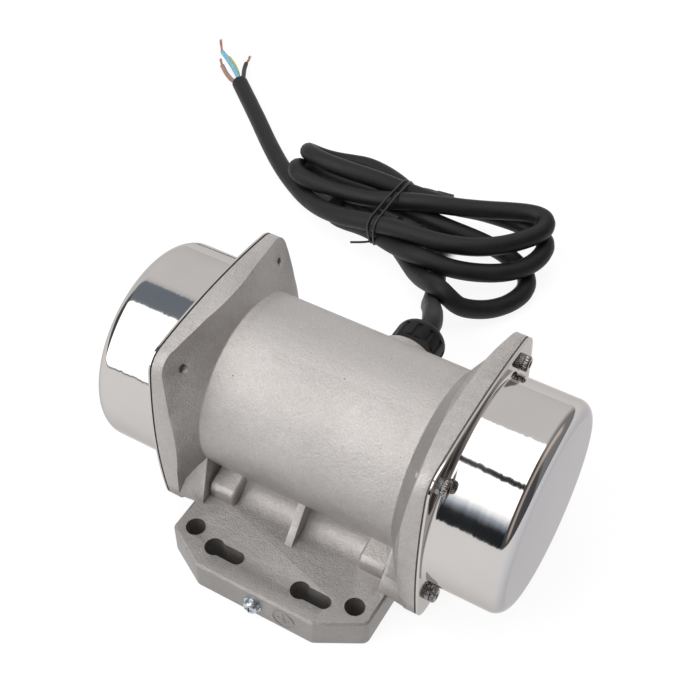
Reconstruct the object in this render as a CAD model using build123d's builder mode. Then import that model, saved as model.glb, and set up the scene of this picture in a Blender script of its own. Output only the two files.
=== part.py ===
from build123d import *

import os
from math import pi, radians, sqrt, tan

# A small vibration motor: a cast barrel on a foot plate, with a square flange and a drawn cap at each
# end, an unbalanced rotor inside and a rubber supply cable behind.
# The origin is the middle of the foot plate's underside. +X runs along the shaft to the right-hand cap,
# +Y to the cable side, +Z up. Lengths are millimetres and angles are degrees.

os.makedirs("parts", exist_ok=True)
SIDES = (("left", -1), ("right", 1))

# How near two sizes must be to count as the same one when an edge is picked out
match_tolerance = 0.01

# Cast body
shaft_height = 53.8
body_half_length = 63.4
barrel_wall = 6.5
register_step = 6.0
register_margin = 7.1

# Flanges of the body: a square with bowed sides, thinned behind its corners by a cone about the shaft
flange_margin = 2.8
flange_side_radius = 280.0
flange_corner_radius = 10.0
flange_rim = 8.2
flange_back_lean = 0.3
flare_length = 8.0
flare_rise = 12.0
flare_fillet = 6.0

# Foot plate
plate_half_length = 49.9
plate_half_width = 75.8
plate_thickness = 15.2
plate_cut_x = 20.6
plate_cut_y = 11.6
plate_corner_radius = 4.0
plate_edge = 1.0
foot_hole_radius = 4.5
foot_hole_inset_x = 9.1
foot_hole_inset_y = 16.5
slot_half_width = 3.4
slot_near_x = 15.9
slot_far_x = 28.2
slot_eye_radius = 4.5
slot_eye_inset = 0.6
slot_row_inset = 11.8

# Saddle, ribs and bosses between the barrel and the foot plate
saddle_half_width = 31.0
saddle_fillet = 10.0
middle_rib_width = 3.6
middle_rib_reach = 47.4
middle_rib_drop = 17.8
boss_inner_x = 31.9
boss_width = 12.6
boss_reach = 41.7
boss_height = 7.6
boss_rise = 3.0
boss_round = 4.0
boss_side_round = 2.0
gusset_inner_x = 45.2
gusset_reach = 47.4
gusset_top_y = 38.4
gusset_top_drop = 14.4
gusset_lean = 1.6
gusset_depth = 22.0

# Drawn end caps, gaskets and cap screws
sheet_thickness = 1.0
cap_radius = 48.1
cap_depth = 34.3
cap_edge_radius = 6.2
cap_neck_radius = 1.6
gasket_thickness = 0.8
gasket_inset = 0.35
gasket_bore_gap = 0.3
cap_screw_inset = 9.34
cap_screw_radius = 2.0
cap_screw_length = 8.0
cap_screw_head_radius = 3.5
cap_screw_head_height = 2.8
cap_screw_head_chamfer = 0.45
cap_screw_key = 3.0
cap_screw_key_depth = 1.8
spring_washer_thickness = 0.8
spring_washer_radius = 3.6
spring_washer_gap = 1.0
screw_clearance = 0.25
screw_hole_extra = 1.0
thread_clearance = 0.05

# Earth screw on the foot plate's front edge
earth_screw_x = -0.4
earth_screw_z = 7.0
earth_screw_radius = 2.0
earth_screw_length = 11.0
earth_head_radius = 3.4
earth_head_height = 2.2
earth_head_round = 1.5
earth_cross_length = 4.0
earth_cross_width = 0.8
earth_cross_depth = 1.2
earth_washer_radius = 4.3
earth_washer_thickness = 0.5
earth_spring_radius = 3.5
earth_spring_thickness = 0.8
earth_mark_x = 14.9
earth_mark_radius = 5.6
earth_mark_rise = 0.35
earth_mark_line = 0.6
earth_mark_bars = (6.4, 4.2, 2.0)

# Bearing shields and their screws
register_depth = 13.4
register_clearance = 0.05
shield_thickness = 6.0
shield_hub_radius = 25.0
shield_lip = 1.5
shield_lip_radius = 14.0
shield_window_count = 6
shield_window_radius = 3.2
shield_window_pitch = 31.5
shield_screw_count = 3
shield_screw_pitch = 38.0
shield_screw_start = 90.0
shield_screw_radius = 1.5
shield_screw_length = 10.0
shield_screw_head_radius = 2.7
shield_screw_head_height = 3.0
shield_screw_key = 2.5
shield_screw_key_depth = 1.5

# Ball bearings with closed sides
bearing_radius = 20.0
bearing_bore_radius = 8.5
bearing_width = 12.0
bearing_ring_wall = 3.4
bearing_seal_thickness = 1.0
bearing_seal_inset = 0.5
bearing_seal_gap = 0.4
bearing_edge = 0.6
bearing_sink = 1.0

# Stator
stator_half_length = 22.0
stator_inner_radius = 22.0
stator_slot_count = 18
stator_slot_width = 4.2
stator_yoke = 4.0
stator_tooth_tip = 1.2
winding_overhang = 16.0
winding_outer_gap = 2.5
winding_inner_gap = 1.4
winding_round = 3.5
winding_clearance = 0.2

# Rotor
air_gap = 0.3
rotor_core_half_length = 23.0
cage_ring_length = 6.0
cage_ring_outer_gap = 1.2
cage_ring_wall = 6.0
shaft_core_radius = 12.5
shaft_shoulder_length = 4.0
shaft_shoulder_radius = 10.8
shaft_end_radius = 7.5
shaft_end_stand = 3.7
shaft_end_chamfer = 1.0
shaft_key_width = 5.0
shaft_key_sink = 2.4
shaft_key_stand = 1.8
shaft_key_clearance = 0.05

# Unbalanced weights
weight_gap = 5.1
weight_hub_radius = 14.0
weight_corner_round = 3.0
fixed_weight_thickness = 9.6
fixed_weight_hub_step = 5.6
adjustable_weight_gap = 0.6
adjustable_weight_thickness = 11.0
adjustable_weight_clearance = 0.03
clamp_ear_half_width = 11.0
clamp_ear_top = 24.0
clamp_slit = 2.0
clamp_screw_radius = 2.5
clamp_screw_height = 17.0
clamp_screw_head_radius = 4.2
clamp_screw_head_height = 4.4
clamp_screw_key = 4.0
clamp_screw_key_depth = 2.4
circlip_thickness = 1.2
circlip_gap = 0.3
circlip_reach = 3.0
circlip_sink = 0.5
circlip_opening = 5.0

# Cable gland on the back of the barrel
gland_x = 8.0
gland_pad_radius = 15.0
gland_pad_reach = 45.0
gland_thread_radius = 10.0
gland_hex_width = 24.0
gland_hex_length = 5.0
gland_nut_radius = 12.5
gland_nut_length = 14.0
gland_nut_round = 6.0
gland_nut_gap = 0.3
gland_nut_grip_count = 12
gland_nut_grip_radius = 1.6
gland_nut_grip_length = 8.0
gland_nut_grip_bite = 0.7
gland_seal_wall = 1.4
gland_seal_length = 7.0
gland_seal_stand = 1.0

# Supply cable: its route leaves the gland, drops to the floor and enters the tied hank
cable_radius = 5.0
cable_clearance = 0.05
cable_route = [
    (8.0, 52.0, 53.8),
    (8.0, 72.0, 53.8),
    (4.2, 84.7, 50.4),
    (-2.8, 97.5, 40.6),
    (-10.8, 111.5, 26.4),
    (-17.5, 129.0, 12.0),
    (-22.0, 149.0, 5.2),
]
tail_route = [
    (-76.0, 158.0, 15.0),
    (-90.0, 158.8, 13.0),
    (-106.0, 163.0, 9.4),
    (-126.0, 172.0, 5.6),
    (-147.0, 184.5, 5.2),
    (-168.0, 201.5, 5.2),
    (-191.0, 222.5, 5.2),
    (-219.0, 246.5, 5.2),
]
corner_share = 0.45

# Hank of the cable: sections across it, each (x, front, back, floor gap, front height, top, top start)
hank_waist = (-68.0, 152.0, 195.0, 2.8, 12.0, 27.0, 164.0)
hank_sections = [
    (-143.0, 182.0, 206.0, 4.0, 12.0, 19.0, 188.0),
    (-133.0, 175.0, 217.0, 0.2, 14.0, 25.0, 184.0),
    (-106.0, 171.0, 224.0, 0.2, 14.0, 26.0, 180.0),
    hank_waist,
    (-38.0, 143.0, 203.0, 0.2, 12.0, 28.0, 160.0),
    (-5.0, 129.0, 211.0, 0.2, 11.0, 29.0, 160.0),
    (20.0, 137.0, 212.0, 0.2, 12.0, 29.0, 164.0),
    (32.0, 152.0, 198.0, 4.0, 14.0, 26.0, 168.0),
]
hank_section_round = 3.5
tie_width = 2.2
tie_wall = 2.2
tie_clearance = 0.4

# Cores of the cable beyond the jacket, and the bare wire at their ends
core_radius = 1.45
wire_radius = 0.95
core_routes = {
    "brown": [(-220.9, 245.4, 5.2), (-226.0, 247.0, 4.9), (-233.0, 251.5, 4.5), (-240.5, 258.0, 4.2)],
    "blue": [(-219.3, 246.8, 7.4), (-229.5, 256.0, 6.4), (-239.5, 263.8, 5.6), (-248.0, 270.0, 5.0)],
    "earth": [(-219.2, 246.7, 2.9), (-229.0, 258.5, 2.8), (-236.5, 265.0, 2.8), (-243.0, 269.5, 2.7)],
    "black": [(-218.0, 248.6, 5.3), (-222.0, 255.5, 5.0), (-225.5, 261.5, 4.7), (-228.0, 267.5, 4.5)],
}
wire_routes = {
    "brown": [(-240.6, 258.1, 4.2), (-244.0, 261.5, 4.0), (-246.0, 264.5, 3.8)],
    "blue": [(-248.1, 270.1, 5.0), (-253.5, 275.5, 4.4), (-259.0, 284.0, 3.8)],
    "earth": [(-243.1, 269.6, 2.7), (-247.5, 272.5, 2.6), (-252.5, 274.0, 2.5)],
    "black": [(-228.15, 267.8, 4.5), (-228.6, 272.0, 4.3), (-231.0, 277.0, 4.0)],
}

# Sizes and places that follow
cap_inner_radius = cap_radius - sheet_thickness
flange_half_width = cap_radius + flange_margin
register_radius = cap_radius - register_margin
bore_radius = register_radius - register_step
barrel_radius = bore_radius + barrel_wall
foot_hole_span_x = 2 * (plate_half_length - foot_hole_inset_x)
foot_hole_span_y = 2 * (plate_half_width - foot_hole_inset_y)
slot_row_y = plate_half_width - slot_row_inset
middle_rib_top = shaft_height - middle_rib_drop
gusset_top_z = shaft_height - gusset_top_drop
flare_edge_x = body_half_length - flange_rim
flare_start_x = flare_edge_x - flare_length
flare_edge_radius = barrel_radius + flare_rise
flange_corner = (sqrt(2 * flange_side_radius**2 - (flange_side_radius - flange_half_width) ** 2)
                 - (flange_side_radius - flange_half_width)) / 2
flange_bottom = shaft_height - flange_half_width
cap_screw_offset = flange_corner - cap_screw_inset
register_x = body_half_length - register_depth
shield_face_x = register_x + shield_thickness
bearing_inner_x = register_x - bearing_sink
bearing_outer_x = bearing_inner_x + bearing_width
gasket_outer_x = body_half_length + gasket_thickness
sheet_outer_x = gasket_outer_x + sheet_thickness
washer_outer_x = sheet_outer_x + spring_washer_thickness
cap_end_x = sheet_outer_x + cap_depth
stator_slot_top = bore_radius - stator_yoke
stator_slot_mouth = stator_inner_radius + stator_tooth_tip
winding_outer_radius = bore_radius - winding_outer_gap
winding_inner_radius = stator_inner_radius + winding_inner_gap
rotor_radius = stator_inner_radius - air_gap
fixed_weight_x = bearing_outer_x + fixed_weight_hub_step
fixed_weight_outer_x = fixed_weight_x + fixed_weight_thickness
adjustable_weight_x = fixed_weight_outer_x + adjustable_weight_gap
adjustable_weight_outer_x = adjustable_weight_x + adjustable_weight_thickness
circlip_x = adjustable_weight_outer_x + circlip_gap
weight_radius = cap_inner_radius - weight_gap
shaft_core_half_length = bearing_inner_x - shaft_shoulder_length
shaft_end_x = circlip_x + circlip_thickness + shaft_end_stand
gland_nut_y = gland_pad_reach + gland_hex_length + gland_nut_gap
gland_nut_end_y = gland_nut_y + gland_nut_length
shaft_axis = Axis((0, 0, shaft_height), (1, 0, 0))
shaft_plane = Plane(origin=(0, 0, shaft_height), x_dir=(1, 0, 0), z_dir=(0, -1, 0))
gland_axis = Axis((gland_x, 0, shaft_height), (0, 1, 0))
gland_plane = Plane(origin=(gland_x, 0, shaft_height), x_dir=(0, 1, 0), z_dir=(1, 0, 0))


def across(x):
    """The plane square to the shaft at x, with its centre on the shaft and local y up."""
    return Plane(origin=(x, 0, shaft_height), x_dir=(0, 1, 0), z_dir=(1, 0, 0))


def facing_back(y, x=0.0, z=0.0):
    """The plane at y that looks toward the cable side, with its centre at x and z."""
    return Plane(origin=(x, y, z), x_dir=(-1, 0, 0), z_dir=(0, 1, 0))


def turned(points, side=1, plane=shaft_plane):
    """The face of a turned piece's half profile, from pairs of length and radius."""
    with BuildSketch(plane) as profile:
        with BuildLine():
            Polyline(*[(side * length, radius) for length, radius in points], close=True)
        make_face()
    return profile.sketch


def ring(start, end, inner, outer, side=1):
    """The half profile of a plain ring about the shaft."""
    return turned([(start, inner), (end, inner), (end, outer), (start, outer)], side)


def flange_outline(plane, inset=0.0):
    """The square outline with bowed sides and round corners, shared by body, gasket and cap."""
    corner = flange_corner - inset
    middle = flange_half_width - inset
    with BuildSketch(plane) as outline:
        with BuildLine():
            ThreePointArc((-corner, -corner), (0, -middle), (corner, -corner))
            ThreePointArc((corner, -corner), (middle, 0), (corner, corner))
            ThreePointArc((corner, corner), (0, middle), (-corner, corner))
            ThreePointArc((-corner, corner), (-middle, 0), (-corner, -corner))
        make_face()
        fillet(outline.vertices(), radius=flange_corner_radius - inset)
    return outline.sketch


def save(piece, name):
    """Label a finished piece and write it out."""
    piece.part.label = name
    export_step(piece.part, f"parts/{name}.step")


# Barrel and flange backs are one turned form, trimmed to the square outline
with BuildPart() as flanged_barrel:
    flange_reach = flange_corner * sqrt(2)
    back_edge_x = flare_edge_x + flange_back_lean * (flange_reach - flare_edge_radius)
    right_half = [
        (flare_start_x, barrel_radius),
        (flare_edge_x, flare_edge_radius),
        (back_edge_x, flange_reach),
        (body_half_length, flange_reach),
        (body_half_length, 0),
    ]
    left_half = [(-x, radius) for x, radius in reversed(right_half)]
    with BuildSketch(shaft_plane):
        with BuildLine():
            Polyline(*left_half, *right_half, close=True)
        make_face()
        flare_starts = vertices().filter_by(lambda corner: abs(corner.Y - barrel_radius) < match_tolerance)
        fillet(flare_starts, radius=flare_fillet)
    revolve(axis=shaft_axis)
    extrude(flange_outline(across(0)), amount=body_half_length, both=True, mode=Mode.INTERSECT)

# Cast body
with BuildPart() as motor_housing:
    # Foot plate with its corners cut off
    with BuildSketch(Plane.XY):
        with BuildLine():
            Polyline(
                (plate_half_length, -plate_half_width + plate_cut_y),
                (plate_half_length, plate_half_width - plate_cut_y),
                (plate_half_length - plate_cut_x, plate_half_width),
                (-plate_half_length + plate_cut_x, plate_half_width),
                (-plate_half_length, plate_half_width - plate_cut_y),
                (-plate_half_length, -plate_half_width + plate_cut_y),
                (-plate_half_length + plate_cut_x, -plate_half_width),
                (plate_half_length - plate_cut_x, -plate_half_width),
                close=True,
            )
        make_face()
        fillet(vertices(), radius=plate_corner_radius)
    extrude(amount=plate_thickness)
    chamfer(edges().group_by(Axis.Z)[-1], length=plate_edge)
    add(flanged_barrel.part)

    # Saddle that carries the barrel, running out to the flanges, with a hollow fillet to the plate
    saddle_foot = saddle_half_width + saddle_fillet
    with BuildSketch(Plane.YZ):
        with BuildLine():
            Line((-saddle_foot, plate_thickness), (saddle_foot, plate_thickness))
            RadiusArc((saddle_foot, plate_thickness),
                      (saddle_half_width, plate_thickness + saddle_fillet), saddle_fillet)
            Line((saddle_half_width, plate_thickness + saddle_fillet),
                 (-saddle_half_width, plate_thickness + saddle_fillet))
            RadiusArc((-saddle_half_width, plate_thickness + saddle_fillet),
                      (-saddle_foot, plate_thickness), saddle_fillet)
        make_face()
    extrude(amount=plate_half_length, both=True)
    with BuildSketch(Plane.YZ):
        with Locations((0, (flange_bottom + shaft_height) / 2)):
            Rectangle(2 * saddle_half_width, shaft_height - flange_bottom)
    extrude(amount=flare_edge_x, both=True)

    # Thin rib at mid-length on each side
    for face in (-1, 1):
        with BuildSketch(Plane.YZ.offset(-middle_rib_width / 2)):
            with BuildLine():
                Polyline(
                    (0, plate_thickness),
                    (face * middle_rib_reach, plate_thickness),
                    (face * saddle_half_width, middle_rib_top),
                    (0, middle_rib_top),
                    close=True,
                )
            make_face()
        extrude(amount=middle_rib_width)

    # Bosses and leaning gussets beside each flange
    for _, side in SIDES:
        for face in (-1, 1):
            boss_top = plate_thickness + boss_height
            with BuildPart(mode=Mode.PRIVATE) as boss:
                with BuildSketch(Plane.YZ.offset(side * boss_inner_x)):
                    with BuildLine():
                        Polyline(
                            (0, plate_thickness),
                            (face * boss_reach, plate_thickness),
                            (face * boss_reach, boss_top),
                            (face * saddle_half_width, boss_top + boss_rise),
                            (0, boss_top + boss_rise),
                            close=True,
                        )
                    make_face()
                    boss_crown = vertices().sort_by(lambda corner: face * corner.X + corner.Y)[-1]
                    fillet(boss_crown, radius=boss_round)
                extrude(amount=side * boss_width)
                boss_rim = edges().filter_by(
                    lambda edge: abs(edge.center().X - side * boss_inner_x) < match_tolerance
                    and edge.center().Z > plate_thickness + match_tolerance
                    and face * edge.center().Y > saddle_half_width)
                fillet(boss_rim, radius=boss_side_round)
            add(boss.part)

            # The gusset's sloping face runs from the barrel down to the flange's edge
            gusset_outer_x = body_half_length - flange_rim / 2
            with BuildSketch(Plane.YZ.offset(side * gusset_inner_x)):
                with BuildLine():
                    Polyline(
                        (face * gusset_depth, plate_thickness),
                        (face * gusset_reach, plate_thickness),
                        (face * gusset_top_y, gusset_top_z),
                        (face * gusset_depth, gusset_top_z),
                        close=True,
                    )
                make_face()
            with BuildSketch(Plane.YZ.offset(side * gusset_outer_x)):
                with BuildLine():
                    Polyline(
                        (face * gusset_depth, plate_thickness),
                        (face * (gusset_reach + gusset_lean), plate_thickness),
                        (face * (gusset_top_y + gusset_lean), gusset_top_z),
                        (face * gusset_depth, gusset_top_z),
                        close=True,
                    )
                make_face()
            loft(ruled=True)

    # Round pad for the cable gland
    with BuildSketch(facing_back(0, gland_x, shaft_height)):
        Circle(gland_pad_radius)
    extrude(amount=gland_pad_reach)

    # Bores: through bore, bearing-shield registers, gland thread
    revolve(ring(-body_half_length, body_half_length, 0, bore_radius), axis=shaft_axis, mode=Mode.SUBTRACT)
    for _, side in SIDES:
        revolve(ring(register_x, body_half_length, 0, register_radius, side),
                axis=shaft_axis, mode=Mode.SUBTRACT)
        with BuildSketch(across(side * register_x)):
            with PolarLocations(shield_screw_pitch, shield_screw_count, start_angle=shield_screw_start):
                Circle(shield_screw_radius + thread_clearance)
        extrude(amount=-side * (shield_screw_length - shield_thickness + screw_hole_extra),
                mode=Mode.SUBTRACT)
        with BuildSketch(across(side * body_half_length)):
            with GridLocations(2 * cap_screw_offset, 2 * cap_screw_offset, 2, 2):
                Circle(cap_screw_radius + thread_clearance)
        extrude(amount=-side * (body_half_length - flare_start_x), mode=Mode.SUBTRACT)
    with BuildSketch(facing_back(gland_pad_reach, gland_x, shaft_height)):
        Circle(gland_thread_radius + thread_clearance)
    extrude(amount=-(gland_pad_reach - bore_radius / 2), mode=Mode.SUBTRACT)

    # Foot holes, keyhole slots and the earth screw's hole
    with BuildSketch(Plane.XY):
        with GridLocations(foot_hole_span_x, foot_hole_span_y, 2, 2):
            Circle(foot_hole_radius)
        slot_middle = (slot_near_x + slot_far_x) / 2
        slot_length = slot_far_x - slot_near_x + 2 * slot_half_width
        with GridLocations(2 * slot_middle, 2 * slot_row_y, 2, 2):
            SlotOverall(slot_length, 2 * slot_half_width)
        slot_eyes = [-slot_far_x + slot_eye_inset, slot_near_x + slot_eye_inset]
        with Locations(*[(x, face * slot_row_y) for x in slot_eyes for face in (-1, 1)]):
            Circle(slot_eye_radius)
    extrude(amount=plate_thickness, mode=Mode.SUBTRACT)
    earth_plane = Plane(origin=(earth_screw_x, -plate_half_width, earth_screw_z),
                        x_dir=(1, 0, 0), z_dir=(0, -1, 0))
    with BuildSketch(earth_plane):
        Circle(earth_screw_radius + thread_clearance)
    extrude(amount=-earth_screw_length - screw_hole_extra, mode=Mode.SUBTRACT)

    # Raised earth sign beside the earth screw
    with BuildSketch(earth_plane):
        with Locations((earth_mark_x - earth_screw_x, 0)):
            Circle(earth_mark_radius)
            Circle(earth_mark_radius - earth_mark_line, mode=Mode.SUBTRACT)
            with Locations((0, earth_mark_radius / 3)):
                Rectangle(earth_mark_line, 2 * earth_mark_radius / 3)
            for step, bar_length in enumerate(earth_mark_bars):
                with Locations((0, -step * earth_mark_radius / 4)):
                    Rectangle(bar_length, earth_mark_line)
    extrude(amount=earth_mark_rise)
save(motor_housing, "motor_housing")

for side_name, side in SIDES:
    # Flat gasket between the flange and the cap
    with BuildPart() as cap_gasket:
        extrude(flange_outline(across(side * body_half_length), gasket_inset),
                amount=side * gasket_thickness)
        with BuildSketch(across(side * body_half_length)):
            Circle(cap_inner_radius + gasket_bore_gap)
            with GridLocations(2 * cap_screw_offset, 2 * cap_screw_offset, 2, 2):
                Circle(cap_screw_radius + screw_clearance)
        extrude(amount=side * gasket_thickness, mode=Mode.SUBTRACT)
    save(cap_gasket, f"{side_name}_cap_gasket")

    # Drawn sheet cap with its flat square flange
    with BuildPart() as end_cap:
        extrude(flange_outline(across(side * gasket_outer_x)), amount=side * sheet_thickness)
        with BuildSketch(shaft_plane):
            with BuildLine():
                Polyline((side * gasket_outer_x, 0), (side * cap_end_x, 0),
                         (side * cap_end_x, cap_radius), (side * gasket_outer_x, cap_radius), close=True)
            make_face()
            rim = vertices().sort_by(lambda corner: side * corner.X + corner.Y)[-1]
            fillet(rim, radius=cap_edge_radius)
        revolve(axis=shaft_axis)
        neck = edges().filter_by(GeomType.CIRCLE).filter_by(
            lambda bend: abs(bend.radius - cap_radius) < match_tolerance
            and abs(abs(bend.center().X) - sheet_outer_x) < match_tolerance)
        fillet(neck, radius=cap_neck_radius)
        with BuildSketch(shaft_plane):
            inner_end_x = cap_end_x - sheet_thickness
            with BuildLine():
                Polyline((side * gasket_outer_x, 0), (side * inner_end_x, 0),
                         (side * inner_end_x, cap_inner_radius),
                         (side * gasket_outer_x, cap_inner_radius), close=True)
            make_face()
            rim = vertices().sort_by(lambda corner: side * corner.X + corner.Y)[-1]
            fillet(rim, radius=cap_edge_radius - sheet_thickness)
        revolve(axis=shaft_axis, mode=Mode.SUBTRACT)
        with BuildSketch(across(side * gasket_outer_x)):
            with GridLocations(2 * cap_screw_offset, 2 * cap_screw_offset, 2, 2):
                Circle(cap_screw_radius + screw_clearance)
        extrude(amount=side * sheet_thickness, mode=Mode.SUBTRACT)
    save(end_cap, f"{side_name}_end_cap")

    # Split spring washers under the cap screws
    with BuildPart() as cap_washers:
        with BuildSketch(across(side * sheet_outer_x)):
            with GridLocations(2 * cap_screw_offset, 2 * cap_screw_offset, 2, 2):
                Circle(spring_washer_radius)
                Circle(cap_screw_radius + screw_clearance, mode=Mode.SUBTRACT)
                with Locations((spring_washer_radius, 0)):
                    Rectangle(2 * spring_washer_radius, spring_washer_gap, mode=Mode.SUBTRACT)
        extrude(amount=side * spring_washer_thickness)
    save(cap_washers, f"{side_name}_cap_washers")

    # Socket-head cap screws
    with BuildPart() as cap_screws:
        with BuildSketch(across(side * washer_outer_x)):
            with GridLocations(2 * cap_screw_offset, 2 * cap_screw_offset, 2, 2):
                Circle(cap_screw_head_radius)
        extrude(amount=side * cap_screw_head_height)
        head_rims = edges().filter_by(GeomType.CIRCLE).group_by(Axis.X)[-1 if side > 0 else 0]
        chamfer(head_rims, length=cap_screw_head_chamfer)
        with BuildSketch(across(side * washer_outer_x)):
            with GridLocations(2 * cap_screw_offset, 2 * cap_screw_offset, 2, 2):
                Circle(cap_screw_radius)
        extrude(amount=-side * cap_screw_length)
        with BuildSketch(across(side * (washer_outer_x + cap_screw_head_height))):
            with GridLocations(2 * cap_screw_offset, 2 * cap_screw_offset, 2, 2):
                RegularPolygon(cap_screw_key / 2, 6, major_radius=False)
        extrude(amount=-side * cap_screw_key_depth, mode=Mode.SUBTRACT)
    save(cap_screws, f"{side_name}_cap_screws")

    # Bearing shield: a disc in the flange's register with a hub for the bearing
    with BuildPart() as bearing_shield:
        shield_radius = register_radius - register_clearance
        shield_profile = [
            (bearing_inner_x - shield_lip, shield_lip_radius),
            (bearing_inner_x, shield_lip_radius),
            (bearing_inner_x, bearing_radius),
            (bearing_outer_x, bearing_radius),
            (bearing_outer_x, shield_hub_radius),
            (shield_face_x, shield_hub_radius),
            (shield_face_x, shield_radius),
            (register_x, shield_radius),
            (register_x, shield_hub_radius),
            (bearing_inner_x - shield_lip, shield_hub_radius),
        ]
        revolve(turned(shield_profile, side), axis=shaft_axis)
        with BuildSketch(across(side * register_x)):
            with PolarLocations(shield_screw_pitch, shield_screw_count, start_angle=shield_screw_start):
                Circle(shield_screw_radius + thread_clearance)
            with PolarLocations(shield_window_pitch, shield_window_count):
                Circle(shield_window_radius)
        extrude(amount=side * shield_thickness, mode=Mode.SUBTRACT)
    save(bearing_shield, f"{side_name}_bearing_shield")

    # Screws that hold the shield against its register
    with BuildPart() as shield_screws:
        with BuildSketch(across(side * shield_face_x)):
            with PolarLocations(shield_screw_pitch, shield_screw_count, start_angle=shield_screw_start):
                Circle(shield_screw_head_radius)
        extrude(amount=side * shield_screw_head_height)
        with BuildSketch(across(side * shield_face_x)):
            with PolarLocations(shield_screw_pitch, shield_screw_count, start_angle=shield_screw_start):
                Circle(shield_screw_radius)
        extrude(amount=-side * shield_screw_length)
        with BuildSketch(across(side * (shield_face_x + shield_screw_head_height))):
            with PolarLocations(shield_screw_pitch, shield_screw_count, start_angle=shield_screw_start):
                RegularPolygon(shield_screw_key / 2, 6, major_radius=False)
        extrude(amount=-side * shield_screw_key_depth, mode=Mode.SUBTRACT)
    save(shield_screws, f"{side_name}_shield_screws")

    # Bearing: outer ring with its side seals, and inner ring
    race_radius = bearing_radius - bearing_ring_wall
    inner_race_radius = bearing_bore_radius + bearing_ring_wall
    seal_radius = inner_race_radius + bearing_seal_gap
    seal_inner_x = bearing_inner_x + bearing_seal_inset
    seal_outer_x = bearing_outer_x - bearing_seal_inset
    with BuildPart() as bearing_outer_ring:
        outer_ring_profile = [
            (bearing_inner_x + bearing_edge, bearing_radius),
            (bearing_inner_x, bearing_radius - bearing_edge),
            (bearing_inner_x, race_radius),
            (seal_inner_x, race_radius),
            (seal_inner_x, seal_radius),
            (seal_inner_x + bearing_seal_thickness, seal_radius),
            (seal_inner_x + bearing_seal_thickness, race_radius),
            (seal_outer_x - bearing_seal_thickness, race_radius),
            (seal_outer_x - bearing_seal_thickness, seal_radius),
            (seal_outer_x, seal_radius),
            (seal_outer_x, race_radius),
            (bearing_outer_x, race_radius),
            (bearing_outer_x, bearing_radius - bearing_edge),
            (bearing_outer_x - bearing_edge, bearing_radius),
        ]
        revolve(turned(outer_ring_profile, side), axis=shaft_axis)
    save(bearing_outer_ring, f"{side_name}_bearing_outer_ring")

    with BuildPart() as bearing_inner_ring:
        revolve(ring(bearing_inner_x, bearing_outer_x, bearing_bore_radius, inner_race_radius, side),
                axis=shaft_axis)
        chamfer(edges().filter_by(GeomType.CIRCLE).filter_by(
            lambda rim: abs(rim.radius - inner_race_radius) < match_tolerance), length=bearing_edge / 2)
    save(bearing_inner_ring, f"{side_name}_bearing_inner_ring")

# Stator core: a laminated ring with winding slots
with BuildPart() as stator_core:
    with BuildSketch(across(-stator_half_length)):
        Circle(bore_radius)
        Circle(stator_inner_radius, mode=Mode.SUBTRACT)
        slot_height = stator_slot_top - stator_slot_mouth
        with PolarLocations((stator_slot_top + stator_slot_mouth) / 2, stator_slot_count):
            Rectangle(slot_height, stator_slot_width, mode=Mode.SUBTRACT)
    extrude(amount=2 * stator_half_length)
save(stator_core, "stator_core")

# Windings: bars in the slots, gathered into a rounded ring at each end
with BuildPart() as stator_windings:
    with BuildSketch(across(-stator_half_length)):
        bar_height = stator_slot_top - stator_slot_mouth - 2 * winding_clearance
        with PolarLocations((stator_slot_top + stator_slot_mouth) / 2, stator_slot_count):
            Rectangle(bar_height, stator_slot_width - 2 * winding_clearance)
    extrude(amount=2 * stator_half_length)
    for _, side in SIDES:
        with BuildSketch(shaft_plane):
            with Locations((side * (stator_half_length + winding_overhang / 2),
                            (winding_outer_radius + winding_inner_radius) / 2)):
                RectangleRounded(winding_overhang, winding_outer_radius - winding_inner_radius,
                                 winding_round)
        revolve(axis=shaft_axis)
save(stator_windings, "stator_windings")

# Rotor core on the shaft, and the cast end rings of its cage
with BuildPart() as rotor_core:
    revolve(ring(-rotor_core_half_length, rotor_core_half_length, shaft_core_radius, rotor_radius),
            axis=shaft_axis)
save(rotor_core, "rotor_core")

with BuildPart() as rotor_end_rings:
    for _, side in SIDES:
        ring_outer = rotor_radius - cage_ring_outer_gap
        revolve(ring(rotor_core_half_length, rotor_core_half_length + cage_ring_length,
                     ring_outer - cage_ring_wall, ring_outer, side), axis=shaft_axis)
save(rotor_end_rings, "rotor_end_rings")

# Stepped shaft with a keyway and a circlip groove at each end
with BuildPart() as rotor_shaft:
    shaft_half = [
        (shaft_core_half_length, shaft_core_radius),
        (shaft_core_half_length, shaft_shoulder_radius),
        (bearing_inner_x, shaft_shoulder_radius),
        (bearing_inner_x, bearing_bore_radius),
        (bearing_outer_x, bearing_bore_radius),
        (bearing_outer_x, shaft_end_radius),
        (circlip_x, shaft_end_radius),
        (circlip_x, shaft_end_radius - circlip_sink),
        (circlip_x + circlip_thickness, shaft_end_radius - circlip_sink),
        (circlip_x + circlip_thickness, shaft_end_radius),
        (shaft_end_x - shaft_end_chamfer, shaft_end_radius),
        (shaft_end_x, shaft_end_radius - shaft_end_chamfer),
        (shaft_end_x, 0),
    ]
    shaft_profile = [(-x, radius) for x, radius in reversed(shaft_half)] + shaft_half
    revolve(turned(shaft_profile), axis=shaft_axis)
    for _, side in SIDES:
        with BuildSketch(across(side * fixed_weight_x)):
            with Locations((0, shaft_end_radius)):
                Rectangle(shaft_key_width, 2 * shaft_key_sink)
        extrude(amount=side * fixed_weight_thickness, mode=Mode.SUBTRACT)
save(rotor_shaft, "rotor_shaft")

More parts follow.
